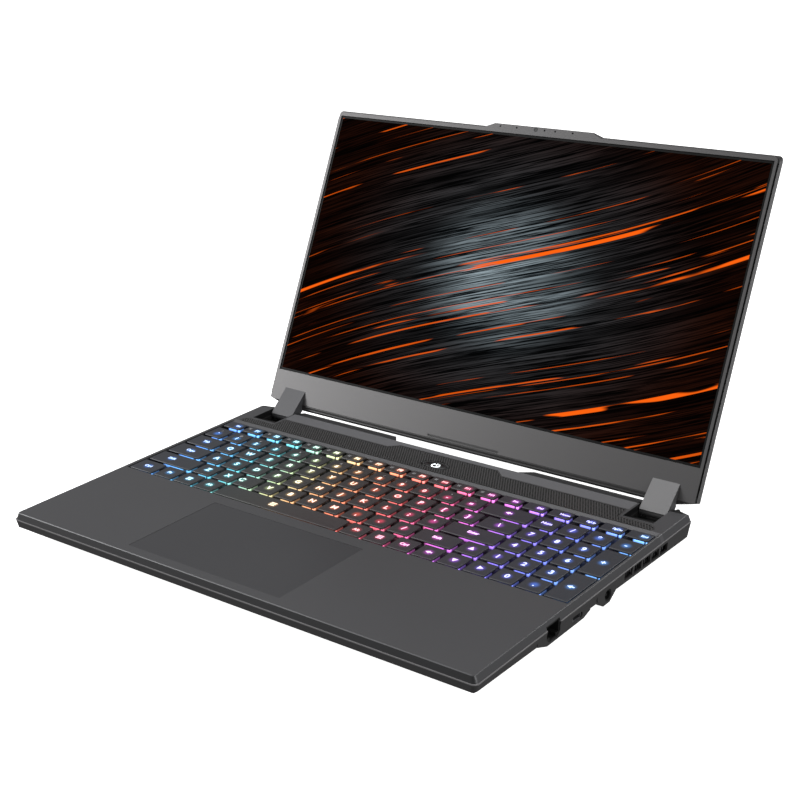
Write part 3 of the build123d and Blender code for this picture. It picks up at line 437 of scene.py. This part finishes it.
def legend_material():
    g = Graph("legend_light")
    colour = light_colour(g)
    core = g.mix(g.noise(g.position(), 700, 1) * 0.2 + 0.26, colour, (1, 1, 1))
    return g.surface(Base_Color=(0.3, 0.3, 0.3), Roughness=0.5, Emission_Color=core, Emission_Strength=1.9)


def key_material():
    """Dark key plastic with a painted glow of the legend's light round it, and a faint painted glow all
    over.
    """
    g = Graph("key_plastic")
    p = g.position()
    fine = g.noise(p, 2600, 3)
    offset = g.node("ShaderNodeAttribute", out="Vector", attribute_name="to_legend")
    away = g.node("ShaderNodeVectorMath", {0: offset}, out="Value", operation="LENGTH")
    glow = g.step(away, 5.2, 0.6)
    glow = glow * glow
    return g.surface(
        Base_Color=g.mix(fine, (0.024, 0.024, 0.026), (0.034, 0.034, 0.036)),
        Roughness=g.step(fine, 0, 1, False) * 0.1 + 0.42,
        Normal=g.bump(fine, 0.3, 0.00005),
        Emission_Color=light_colour(g),
        Emission_Strength=glow * 0.55 + 0.008,
    )


def leak_glow_material():
    """Painted light of the backlight leaking past the caps, as strong as the mesh says."""
    g = Graph("leak_glow")
    glow = g.split(g.node("ShaderNodeAttribute", out="Vector", attribute_name="glow"))[0]
    speck = g.noise(g.position(), 900, 2)
    colour = g.mix(0.12, light_colour(g), (1, 1, 1))
    base = g.mix(speck, (0.012, 0.012, 0.012), (0.02, 0.02, 0.02))
    strength = glow * (speck * 0.5 + 0.9)
    return g.surface(Base_Color=base, Roughness=0.5, Emission_Color=colour, Emission_Strength=strength)


legend_light = legend_material()
key_plastic = key_material()
leak_glow = leak_glow_material()
legend_grey = finish_as("legend_grey", (0.30, 0.30, 0.31), rough=0.6)

# ------------------------------------------------------------------ keys
# Each group: (row, first column, width in units, rows deep, legend, small mark)
KEYS = {
    "escape_key": [(0, 0, 1, 1, "Esc", "")],
    "function_keys": [(0, c, 1, 1, f"F{c}", "=") for c in range(1, 13)]
    + [(0, 12 + i, 1, 1, t, "") for i, t in enumerate(("Prt", "Del", "Home", "PgUp", "PgDn", "End"), 1)],
    "number_row_keys": [(1, c, 1, 1, t, "-") for c, t in enumerate("`1234567890-=")],
    "backspace_key": [(1, 13, 2, 1, "<", "")],
    "tab_key": [(2, 0, 1.5, 1, "Tab", "")],
    "upper_letter_keys": [(2, 1.5 + c, 1, 1, t, "") for c, t in enumerate("QWERTYUIOP[]")],
    "backslash_key": [(2, 13.5, 1.5, 1, "\\", "-")],
    "caps_lock_key": [(3, 0, 1.75, 1, "Caps", "")],
    "home_letter_keys": [(3, 1.75 + c, 1, 1, t, "") for c, t in enumerate("ASDFGHJKL;'")],
    "enter_key": [(3, 12.75, 2.25, 1, "Enter", "")],
    "left_shift_key": [(4, 0, 2.25, 1, "Shift", "")],
    "lower_letter_keys": [(4, 2.25 + c, 1, 1, t, "") for c, t in enumerate("ZXCVBNM,./")],
    "right_shift_key": [(4, 12.25, 1.75, 1, "Shift", "")],
    "modifier_keys": [
        (5, 0, 1.25, 1, "Ctrl", ""),
        (5, 1.25, 1, 1, "Fn", ""),
        (5, 2.25, 1, 1, "#", ""),
        (5, 3.25, 1, 1, "Alt", ""),
        (5, 10, 1, 1, "Alt", ""),
        (5, 11, 1, 1, "=", ""),
        (5, 12, 1, 1, "Ctrl", ""),
    ],
    "space_bar": [(5, SPACE_COLUMN, 5.75, 1, "=", "")],
    "up_arrow_key": [(4, 14, 1, 1, "^", "")],
    "left_arrow_key": [(5, 13, 1, 1, "<", "")],
    "down_arrow_key": [(5, 14, 1, 1, "v", "")],
    "right_arrow_key": [(5, 15, 1, 1, ">", "")],
    "numpad_operator_keys": [(1, 15 + c, 1, 1, t, "") for c, t in enumerate(("Num", "/", "*", "-"))],
    "numpad_digit_keys": [
        (row, 15 + c, 1, 1, t, "")
        for row, line in ((2, "789"), (3, "456"), (4, "123"))
        for c, t in enumerate(line)
    ]
    + [(5, 16, 1, 1, "0", ""), (5, 17, 1, 1, ".", "")],
    "numpad_plus_key": [(2, 18, 1, 2, "+", "")],
    "numpad_enter_key": [(4, 18, 1, 2, "<", "")],
}


def cap_place(row, column, units, rows):
    x = FIRST_X + (column + (units - 1) / 2) * PITCH_X
    width = units * PITCH_X - GAP
    if row == 0:
        return x, back(ROW0_Y), width, FN_DEPTH
    y = back(ROW1_Y) - (row - 1 + (rows - 1) / 2) * PITCH_Y
    return x, y, width, rows * PITCH_Y - GAP + 0.3


def legend_place(row, column, units, rows, text):
    """Where a key's lit legend sits, and how tall it is."""
    x, y, width, depth = cap_place(row, column, units, rows)
    if row == 0:
        return x + 3.2, y - 0.2, 4.2 if len(text) < 3 else 3.0
    if column == SPACE_COLUMN:
        return x - 6, y, 6.5
    if text == "Shift":
        return x - width / 2 + 14, y + 0.6, 3.6
    if len(text) > 1:
        return x, y + 0.2, 3.7
    if row == 1 and column < 13:
        return x, y - 1.7, 5.0
    return x, y, 5.9


CAP_BOTTOM = DECK_Z - 0.9
# Top, bottom and distances from the cap's edge of the glowing strips that paint the backlight leaking past
# the caps.
GLOW_TOP = DECK_Z - 1.0
GLOW_BOTTOM = DECK_Z - 2.98
GLOW_NEAR, GLOW_FAR = 0.15, 0.38
TOP = DECK_Z
NO_LEGEND = (999, 999)


def add_cap(bm, layer, place, legend_xy):
    """One key cap: walls that lean in a little, a rounded edge and a shallow dish on top."""
    x, y, width, depth = place
    levels = (
        (0.0, CAP_BOTTOM),
        (0.05, TOP - 0.42),
        (0.16, TOP - 0.16),
        (0.36, TOP - 0.04),
        (0.7, TOP),
        (2.2, TOP - 0.10),
        (4.2, TOP - 0.16),
    )
    previous = None
    for inset, z in levels:
        inset = min(inset, depth / 2 - 0.4)
        radius = max(0.9 - inset, 0.25)
        points = rounded(x, y, width - 2 * inset, depth - 2 * inset, radius)
        verts = ring(bm, points, z)
        for v in verts:
            v[layer] = (v.co.x - legend_xy[0], v.co.y - legend_xy[1], v.co.z - TOP)
        if previous:
            bridge(bm, previous, verts)
        else:
            bm.faces.new(verts[::-1])
        previous = verts
    bm.faces.new(previous)


def add_leak_glow(bm, layer, place, row):
    """A glowing strip standing on the plate in front of a cap and round its right-hand corner: painted light
    of the backlight leaking past the cap.
    """
    x, y, width, depth = place
    left, right = x - width / 2, x + width / 2
    front = y - depth / 2
    start = 0.46 if row == 1 else 0.36
    power = 2.2 if row == 0 else 1.25
    along_front = [(start, 0.0), (start + 0.08, 1.0), (0.84, 1.0), (0.88, 0.1), (0.93, 0.1), (0.96, 1.3)]
    up_side = [(0.08, 1.0), (0.12, 0.25), (0.5, 0.15)]
    path = []
    for t, glow in along_front:
        across = left + width * t
        path.append(((across, front - GLOW_FAR), (across, front - GLOW_NEAR), glow))
    path.append(((right + GLOW_FAR, front - GLOW_FAR), (right + GLOW_NEAR, front - GLOW_NEAR), 1.5))
    for t, glow in up_side:
        up = front + depth * t
        path.append(((right + GLOW_FAR, up), (right + GLOW_NEAR, up), glow))
    previous = None
    for outer, inner, glow in path:
        section = []
        for (px, py), z, share in (
            (outer, GLOW_BOTTOM, 0.0),
            (outer, GLOW_TOP - 0.7, 0.8),
            (outer, GLOW_TOP, 1.0),
            (inner, GLOW_TOP, 1.0),
            (inner, GLOW_BOTTOM, 0.0),
        ):
            vert = bm.verts.new((px, py, z))
            vert[layer] = (glow * share * power, 0, 0)
            section.append(vert)
        if previous:
            bridge(bm, previous, section)
        else:
            bm.faces.new(section)
        previous = section
    bm.faces.new(previous[::-1])


def text_mesh(text, size, x, y, z):
    """Flat lettering in Blender's own font, centred on a point, in metres."""
    curve = bpy.data.curves.new("text", "FONT")
    curve.body = text
    curve.size = size * MM
    curve.align_x = "CENTER"
    curve.align_y = "CENTER"
    curve.extrude = 0.00002
    curve.resolution_u = 3
    curve.offset = size * MM * 0.03
    holder = bpy.data.objects.new("text", curve)
    scene.collection.objects.link(holder)
    bpy.context.view_layer.update()
    mesh = bpy.data.meshes.new_from_object(holder.evaluated_get(bpy.context.evaluated_depsgraph_get()))
    bpy.data.objects.remove(holder)
    mesh.transform(Matrix.Translation((x * MM, y * MM, z * MM)))
    return mesh


def add_symbol(bm, kind, x, y, z, size):
    """A plain arrow, window or menu mark made of polygons."""
    pane = ((0, 0), (0.36, 0), (0.36, 0.36), (0, 0.36))
    shapes = {
        "<": [[(-0.5, 0), (0.1, 0.35), (0.1, 0.1), (0.5, 0.1), (0.5, -0.1), (0.1, -0.1), (0.1, -0.35)]],
        ">": [[(0.45, 0), (-0.3, 0.42), (-0.3, -0.42)]],
        "^": [[(0, 0.45), (-0.42, -0.3), (0.42, -0.3)]],
        "v": [[(0, -0.45), (0.42, 0.3), (-0.42, 0.3)]],
        "#": [[(a + da, b + db) for da, db in pane] for a in (-0.42, 0.06) for b in (-0.42, 0.06)],
        "=": [[(-0.45, b), (0.45, b), (0.45, b + 0.16), (-0.45, b + 0.16)] for b in (-0.4, -0.08, 0.24)],
    }
    for shape in shapes[kind]:
        top = [bm.verts.new((x + a * size, y + b * size, z + 0.03)) for a, b in shape]
        bottom = [bm.verts.new((x + a * size, y + b * size, z - 0.02)) for a, b in shape]
        bm.faces.new(top)
        bm.faces.new(bottom[::-1])
        bridge(bm, bottom, top)


SYMBOLS = "<>^v#="
SHIFTED = "!@#$%^&*()_+~"
LEGEND_Z = TOP - 0.15


def add_text(bm, text, size, x, y, z):
    """Lettering joined to a mesh that is being built in mm."""
    letters = text_mesh(text, size, x, y, z)
    letters.transform(Matrix.Scale(1000, 4))
    bm.from_mesh(letters)
    bpy.data.meshes.remove(letters)


def to_mesh(bm, name):
    """Finish a mesh built in mm."""
    bmesh.ops.scale(bm, vec=(MM, MM, MM), verts=bm.verts)
    mesh = bpy.data.meshes.new(name)
    bm.to_mesh(mesh)
    bm.free()
    return mesh


# Glowing strips that paint the backlight leaking past the caps.
leak_glows = bmesh.new()
leak_glow_layer = leak_glows.verts.layers.float_vector.new("glow")
for group, keys in KEYS.items():
    bm = bmesh.new()
    layer = bm.verts.layers.float_vector.new("to_legend")
    marks = bmesh.new()
    grey = bmesh.new()
    for row, column, units, rows, text, small in keys:
        place = cap_place(row, column, units, rows)
        x, y, width, depth = place
        lx, ly, size = legend_place(row, column, units, rows, text)
        add_cap(bm, layer, place, (lx, ly) if text else NO_LEGEND)
        add_leak_glow(leak_glows, leak_glow_layer, place, row)
        is_symbol = len(text) == 1 and text in SYMBOLS and not (row == 1 and text == "=")
        if is_symbol:
            add_symbol(marks, text, lx, ly, LEGEND_Z + 0.13, size * 0.8)
        elif text:
            add_text(marks, text, size, lx, ly, LEGEND_Z + 0.1)
        if small == "=":
            add_symbol(grey, "=", x - 4.3, y + 0.6, LEGEND_Z + 0.13, 2.6)
        elif small == "-":
            add_text(grey, SHIFTED[int(column) % len(SHIFTED)], 2.6, x, y + 3.4, LEGEND_Z + 0.12)
    caps = object_from(group + "_caps", to_mesh(bm, group + "_caps"), key_plastic, group, smooth=True)
    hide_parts(group)
    for label, part, finish in (("legends", marks, legend_light), ("marks", grey, legend_grey)):
        if part.verts:
            name = f"{group}_{label}"
            object_from(name, to_mesh(part, name), finish, group)
        else:
            part.free()


bmesh.ops.recalc_face_normals(leak_glows, faces=leak_glows.faces)
leak_glow_mesh = to_mesh(leak_glows, "key_leak_glows")
object_from("key_leak_glows", leak_glow_mesh, leak_glow, "base")

# ------------------------------------------------------------------ rear mesh and power button
GRILLE_SIDE = [
    (169.0, 199.8),
    (169.0, 204.5),
    (164.5, 208.2),
    (142.3, 208.2),
    (141.4, 219.6),
    (48.0, 219.6),
    (40.5, 226.4),
]
GRILLE = [(x, back(y)) for x, y in GRILLE_SIDE] + [(-x, back(y)) for x, y in reversed(GRILLE_SIDE)]
GRILLE_TOP = DECK_Z - 0.15
GRILLE_BOTTOM = DECK_Z - 0.8
BUTTON_Y = back(211.0)
BUTTON_X_RADIUS, BUTTON_Y_RADIUS = 9.2, 4.3
CELL = 1.95
ROW_STEP = CELL * 0.866
CELL_RADIUS = CELL * 0.577
POCKET_SHARE = 0.66


def oval(growth, steps=40):
    """The power button's outline, grown by an amount."""
    across, deep = BUTTON_X_RADIUS + growth, BUTTON_Y_RADIUS + growth
    turns = [2 * pi * k / steps for k in range(steps)]
    return [(across * cos(a), BUTTON_Y + deep * sin(a)) for a in turns]


def depth_inside(x, y, polygon):
    """Distance from a point to a polygon's edge: positive inside, negative outside."""
    point, inside, nearest = Vector((x, y)), False, 1e9
    for (ax, ay), (bx, by) in zip(polygon, polygon[1:] + polygon[:1]):
        start, along = Vector((ax, ay)), Vector((bx - ax, by - ay))
        t = min(max((point - start).dot(along) / along.length_squared, 0), 1)
        nearest = min(nearest, (point - start - along * t).length)
        if (ay > y) != (by > y) and x < (bx - ax) * (y - ay) / (by - ay) + ax:
            inside = not inside
    return nearest if inside else -nearest


def inset(polygon, amount):
    """An anticlockwise polygon moved in by an amount, with square corners."""
    result = []
    for i, (x, y) in enumerate(polygon):
        before, after = Vector(polygon[i - 1]), Vector(polygon[(i + 1) % len(polygon)])
        here = Vector((x, y))
        n0 = (here - before).orthogonal().normalized()
        n1 = (after - here).orthogonal().normalized()
        corner = (n0 + n1) / (1 + n0.dot(n1))
        result.append(tuple(here + corner * amount))
    return result


def build_grille(bm):
    """A plate of small six-sided pockets inside a plain border, with an oval hole for the button."""
    hole = oval(0.15)
    floor_verts = [bm.verts.new((x, y, GRILLE_BOTTOM)) for x, y in GRILLE + hole]
    outlines = [[Vector((x, y, 0)) for x, y in line] for line in (GRILLE, hole)]
    for corners in tessellate_polygon(outlines):
        bm.faces.new([floor_verts[i] for i in corners])
    for outer, inner in ((GRILLE, inset(GRILLE, 1.1)), (hole, oval(1.0))):
        section = ((outer, GRILLE_BOTTOM), (outer, GRILLE_TOP), (inner, GRILLE_TOP), (inner, GRILLE_BOTTOM))
        levels = [ring(bm, points, z) for points, z in section]
        for lower, upper in zip(levels, levels[1:]):
            bridge(bm, lower, upper)
    border = oval(0.2)
    angles = [radians(30 + 60 * k) for k in range(6)]
    for j in range(int(30 / ROW_STEP) + 1):
        y = back(199.5) + j * ROW_STEP
        for i in range(-90, 91):
            x = (i + 0.5 * (j % 2)) * CELL
            if depth_inside(x, y, GRILLE) < CELL * 0.55 or depth_inside(x, y, border) > -CELL * 0.55:
                continue
            outer, inner = [
                [(x + radius * cos(a), y + radius * sin(a)) for a in angles]
                for radius in (CELL_RADIUS, CELL_RADIUS * POCKET_SHARE)
            ]
            rim = ring(bm, outer, GRILLE_TOP)
            edge = ring(bm, inner, GRILLE_TOP)
            deep = ring(bm, inner, GRILLE_BOTTOM + 0.02)
            bridge(bm, rim, edge)
            bridge(bm, edge, deep)
            bm.faces.new(deep)
    bmesh.ops.recalc_face_normals(bm, faces=bm.faces)
    for face in bm.faces:
        # Faces below the grille's top take the pockets' painted shade.
        face.material_index = 0 if face.calc_center_median().z > GRILLE_TOP - 0.001 else 1
        if face.normal.z < -0.5:
            face.normal_flip()


mesh_metal = finish_as("grille_metal", (0.070, 0.069, 0.070), 0.45, 0.3, **coarse_paint)
grille = object_from("rear_mesh", mesh_from("rear_mesh", build_grille), [mesh_metal, pocket_painted_shade], "base")
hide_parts("rear_grille")


# The button's rings from its foot to the middle of its dish: share of the outline, height over the deck
BUTTON_RINGS = (
    (1, -2.2),
    (1, -0.4),
    (0.97, -0.2),
    (0.90, -0.15),
    (0.82, -0.22),
    (0.66, -0.5),
    (0.4, -0.62),
    (0.15, -0.65),
)


def build_button(bm):
    """An oval button, dished in the middle."""
    previous = None
    for scale, z in BUTTON_RINGS:
        points = [(x * scale, BUTTON_Y + (y - BUTTON_Y) * scale) for x, y in oval(0)]
        verts = ring(bm, points, DECK_Z + z)
        if previous:
            bridge(bm, previous, verts)
        else:
            bm.faces.new(verts[::-1])
        previous = verts
    bm.faces.new(previous)


dish = mesh_from("power_button_dish", build_button)
button = object_from("power_button_dish", dish, button_gloss, "power_button", smooth=True)
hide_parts("power_button")


def build_power_mark(bm):
    """The usual power sign: a broken ring and a bar, standing just off the dish."""
    z0, z1 = DECK_Z - 0.7, DECK_Z - 0.42
    start, sweep, steps = radians(125), radians(290), 28
    turns = [start + sweep * k / steps for k in range(steps + 1)]
    inner, outer = [[(r * cos(a), BUTTON_Y + r * sin(a)) for a in turns] for r in (2.3, 3.1)]
    bar = [(x, BUTTON_Y + y) for x, y in ((-0.4, 0.6), (0.4, 0.6), (0.4, 3.3), (-0.4, 3.3))]
    for shape in (inner + outer[::-1], bar):
        prism(bm, ring(bm, shape, z0), ring(bm, shape, z1))
    bmesh.ops.triangulate(bm, faces=[f for f in bm.faces if len(f.verts) > 4])
    bmesh.ops.recalc_face_normals(bm, faces=bm.faces)


def white_light():
    g = Graph("power_light")
    speck = g.noise(g.position(), 800, 2)
    colour = g.mix(speck, (0.8, 0.95, 1), (1, 1, 1))
    return g.surface(Base_Color=(0.5, 0.5, 0.5), Emission_Color=colour, Emission_Strength=2.2)


mark = object_from("power_mark", mesh_from("power_mark", build_power_mark), white_light(), "power_button")

# ------------------------------------------------------------------ vent strip across the lid's chin
bezel = nodes["bezel"]
facing = Vector((0, -cos(LEAN), sin(LEAN)))
upward = Vector((0, sin(LEAN), cos(LEAN)))
display_corner = Vector((0, DISPLAY_Y, DISPLAY_Z)) * MM
chin_face = max((v.co - display_corner).dot(facing) for v in bezel.data.vertices)
VENT_BARS, VENT_BAR, VENT_START = 42, 0.7, -29.5
VENT_LOW, VENT_HIGH = -24.3, -22.2


def on_lid(x, up, out):
    """A point on the lid, in mm: across, up from the display's lower edge, and out from the chin's face."""
    place = Vector((x * MM, 0, 0)) + display_corner + upward * up * MM + facing * (chin_face + out * MM)
    return place / MM


def build_chin_vent(bm):
    """A row of slanted bars over a long groove, each a thin black plate on the chin's face: painted shade
    standing for the slots and the groove.
    """
    plates = []
    for k in range(VENT_BARS):
        x = VENT_START + 2 * VENT_BAR * k
        slanted = ((0, VENT_LOW), (VENT_BAR, VENT_LOW), (3 * VENT_BAR, VENT_HIGH), (2 * VENT_BAR, VENT_HIGH))
        plates.append(([(x + a, up) for a, up in slanted], 0.03))
    plates.append((rounded(0, -24.75, 284, 0.5, 0.2, 2), 0.02))
    for corners, height in plates:
        lower = [bm.verts.new(on_lid(a, b, -0.1)) for a, b in corners]
        upper = [bm.verts.new(on_lid(a, b, height)) for a, b in corners]
        prism(bm, lower, upper)


chin_vent = object_from("chin_vent", mesh_from("chin_vent", build_chin_vent), black_plastic, "lid")


# How far each corner of the groove's painted shade strip is past the bezel's side, and out from its face
GROOVE_SHADE_SECTION = ((0.1, -0.5), (0.7, -0.5), (0.7, -1.4), (0.1, -1.2))
GROOVE_SHADE_ENDS = (-20, 194)


def build_groove_shade(bm):
    """A black strip down each side of the bezel, in the groove between it and the back cover: painted shade
    in the groove.
    """
    for side in (-1, 1):
        rows = []
        for up in GROOVE_SHADE_ENDS:
            corners = [on_lid(side * (FACE_SIDE + past), up, out) for past, out in GROOVE_SHADE_SECTION]
            rows.append([bm.verts.new(corner) for corner in corners])
        bridge(bm, rows[0], rows[1])
        bm.faces.new(rows[0][::-1])
        bm.faces.new(rows[1])
    bmesh.ops.recalc_face_normals(bm, faces=bm.faces)


object_from("edge_groove_shade", mesh_from("edge_groove_shade", build_groove_shade), groove_painted_shade, "lid")

# ------------------------------------------------------------------ display
DISPLAY_HEIGHT = 193.6
RIB_SLANT = radians(24)
RIB_BEND = 9.0
# Orange streaks come in layers: lanes per mm, how rare a lit lane is, how strong it is
STREAK_LAYERS = ((0.16, 0.66, 1.0), (0.34, 0.68, 0.7), (0.62, 0.70, 0.5))


def screen_material():
    """A plain abstract picture: slanted dark ribs, orange streaks by noise and a pale middle."""
    g = Graph("display_picture")
    x, y, z = g.split(g.position())
    u, v = x * 1000, up_the_lid(y, z) - DISPLAY_HEIGHT / 2
    along = u * cos(RIB_SLANT) + v * sin(RIB_SLANT)
    across = v * cos(RIB_SLANT) - u * sin(RIB_SLANT) + g.math("SINE", along * 0.012) * RIB_BEND

    def lanes(pitch, stretch, seed, detail, rough=0.5):
        """Noise drawn out along the ribs."""
        return g.noise(g.join(across * pitch, along * stretch, seed), 1.0, detail, rough)

    ribs = g.step(lanes(0.9, 0.012, 2.0, 3, 0.75), 0.42, 0.60)
    ribs = ribs * (g.step(lanes(0.12, 0.004, 1.0, 2, 0.6), 0.3, 0.65) * 0.75 + 0.25)
    streak = 0.0
    for layer, (pitch, cut, strength) in enumerate(STREAK_LAYERS):
        lit = g.step(lanes(pitch, 0.001, 13.0 + layer, 0), cut, cut + 0.03)
        broken = g.step(lanes(pitch, 0.018, 31.0 + layer, 1), 0.48, 0.56)
        streak = g.math("MAXIMUM", streak, lit * broken * strength)

    away = g.math("SQRT", u * u + v * v * 1.6)
    middle = g.step(away, 165, 55)
    blotch = g.noise(g.join(u * 0.02, v * 0.02, 5.0), 1.0, 2)
    sheen = g.step(away, 80, 10) * (blotch * 0.6 + 0.2)
    warm = g.mix(ribs, (0.0006, 0.0004, 0.0004), (0.017, 0.0045, 0.0022))
    grey = g.mix(ribs, (0.0010, 0.0012, 0.0014), (0.040, 0.044, 0.048))
    pale = g.mix(ribs, (0.004, 0.008, 0.011), (0.66, 0.82, 0.90))
    picture = g.mix(middle * 0.85, warm, grey)
    picture = g.mix(sheen, picture, pale)
    picture = g.mix(streak, picture, (1.0, 0.130, 0.006))
    return g.surface(
        Base_Color=(0.0, 0.0, 0.0),
        Roughness=0.3,
        Specular_IOR_Level=0.0,
        Emission_Color=picture,
        Emission_Strength=1.0,
    )


nodes["display_screen"].data.materials[0] = screen_material()

# ------------------------------------------------------------------ floor and light
FLOOR_SIDE = 40
floor_corners = [(a * FLOOR_SIDE, b * FLOOR_SIDE) for a, b in ((-1, -1), (1, -1), (1, 1), (-1, 1))]
floor_mesh = bpy.data.meshes.new("floor")
floor_mesh.from_pydata([(x, y, 0) for x, y in floor_corners], [], [(0, 1, 2, 3)])
floor = bpy.data.objects.new("floor", floor_mesh)
scene.collection.objects.link(floor)
floor.visible_diffuse = False
floor.visible_glossy = False
fg = Graph("floor_white")
floor_mesh.materials.append(
    fg.surface(
        Base_Color=fg.mix(fg.noise(fg.position(), 3), (0.80, 0.80, 0.80), (0.82, 0.82, 0.82)),
        Roughness=0.9,
        Specular_IOR_Level=0.0,
        Emission_Color=(1, 1, 1),
        Emission_Strength=1.0,
    )
)

world = bpy.data.worlds.new("studio")
scene.world = world
world.use_nodes = True
world.node_tree.nodes["Background"].inputs[0].default_value = (1, 1, 1, 1)
world.node_tree.nodes["Background"].inputs[1].default_value = 0.22


def softbox(name, place, aim, size, power):
    light = bpy.data.objects.new(name, bpy.data.lights.new(name, "AREA"))
    light.data.shape = "RECTANGLE"
    light.data.size, light.data.size_y = size
    light.data.energy = power
    light.location = place
    light.rotation_euler = (Vector(aim) - Vector(place)).to_track_quat("-Z", "Y").to_euler()
    scene.collection.objects.link(light)


softbox("top_light", (-0.2, 0.0, 1.5), (0, 0, 0), (1.4, 1.4), 12)
softbox("left_light", (-1.75, -0.95, 0.7), (0, 0.1, 0.1), (0.9, 0.9), 34)
softbox("front_light", (-1.0, -0.65, 1.2), (0, -0.1, 0), (0.7, 0.7), 5)
softbox("right_light", (1.9, -0.3, 0.7), (0.1, 0, 0), (0.9, 0.9), 18)
softbox("rim_light", (0.75, 1.5, 1.15), (0.1, 0, 0), (0.8, 0.8), 9)
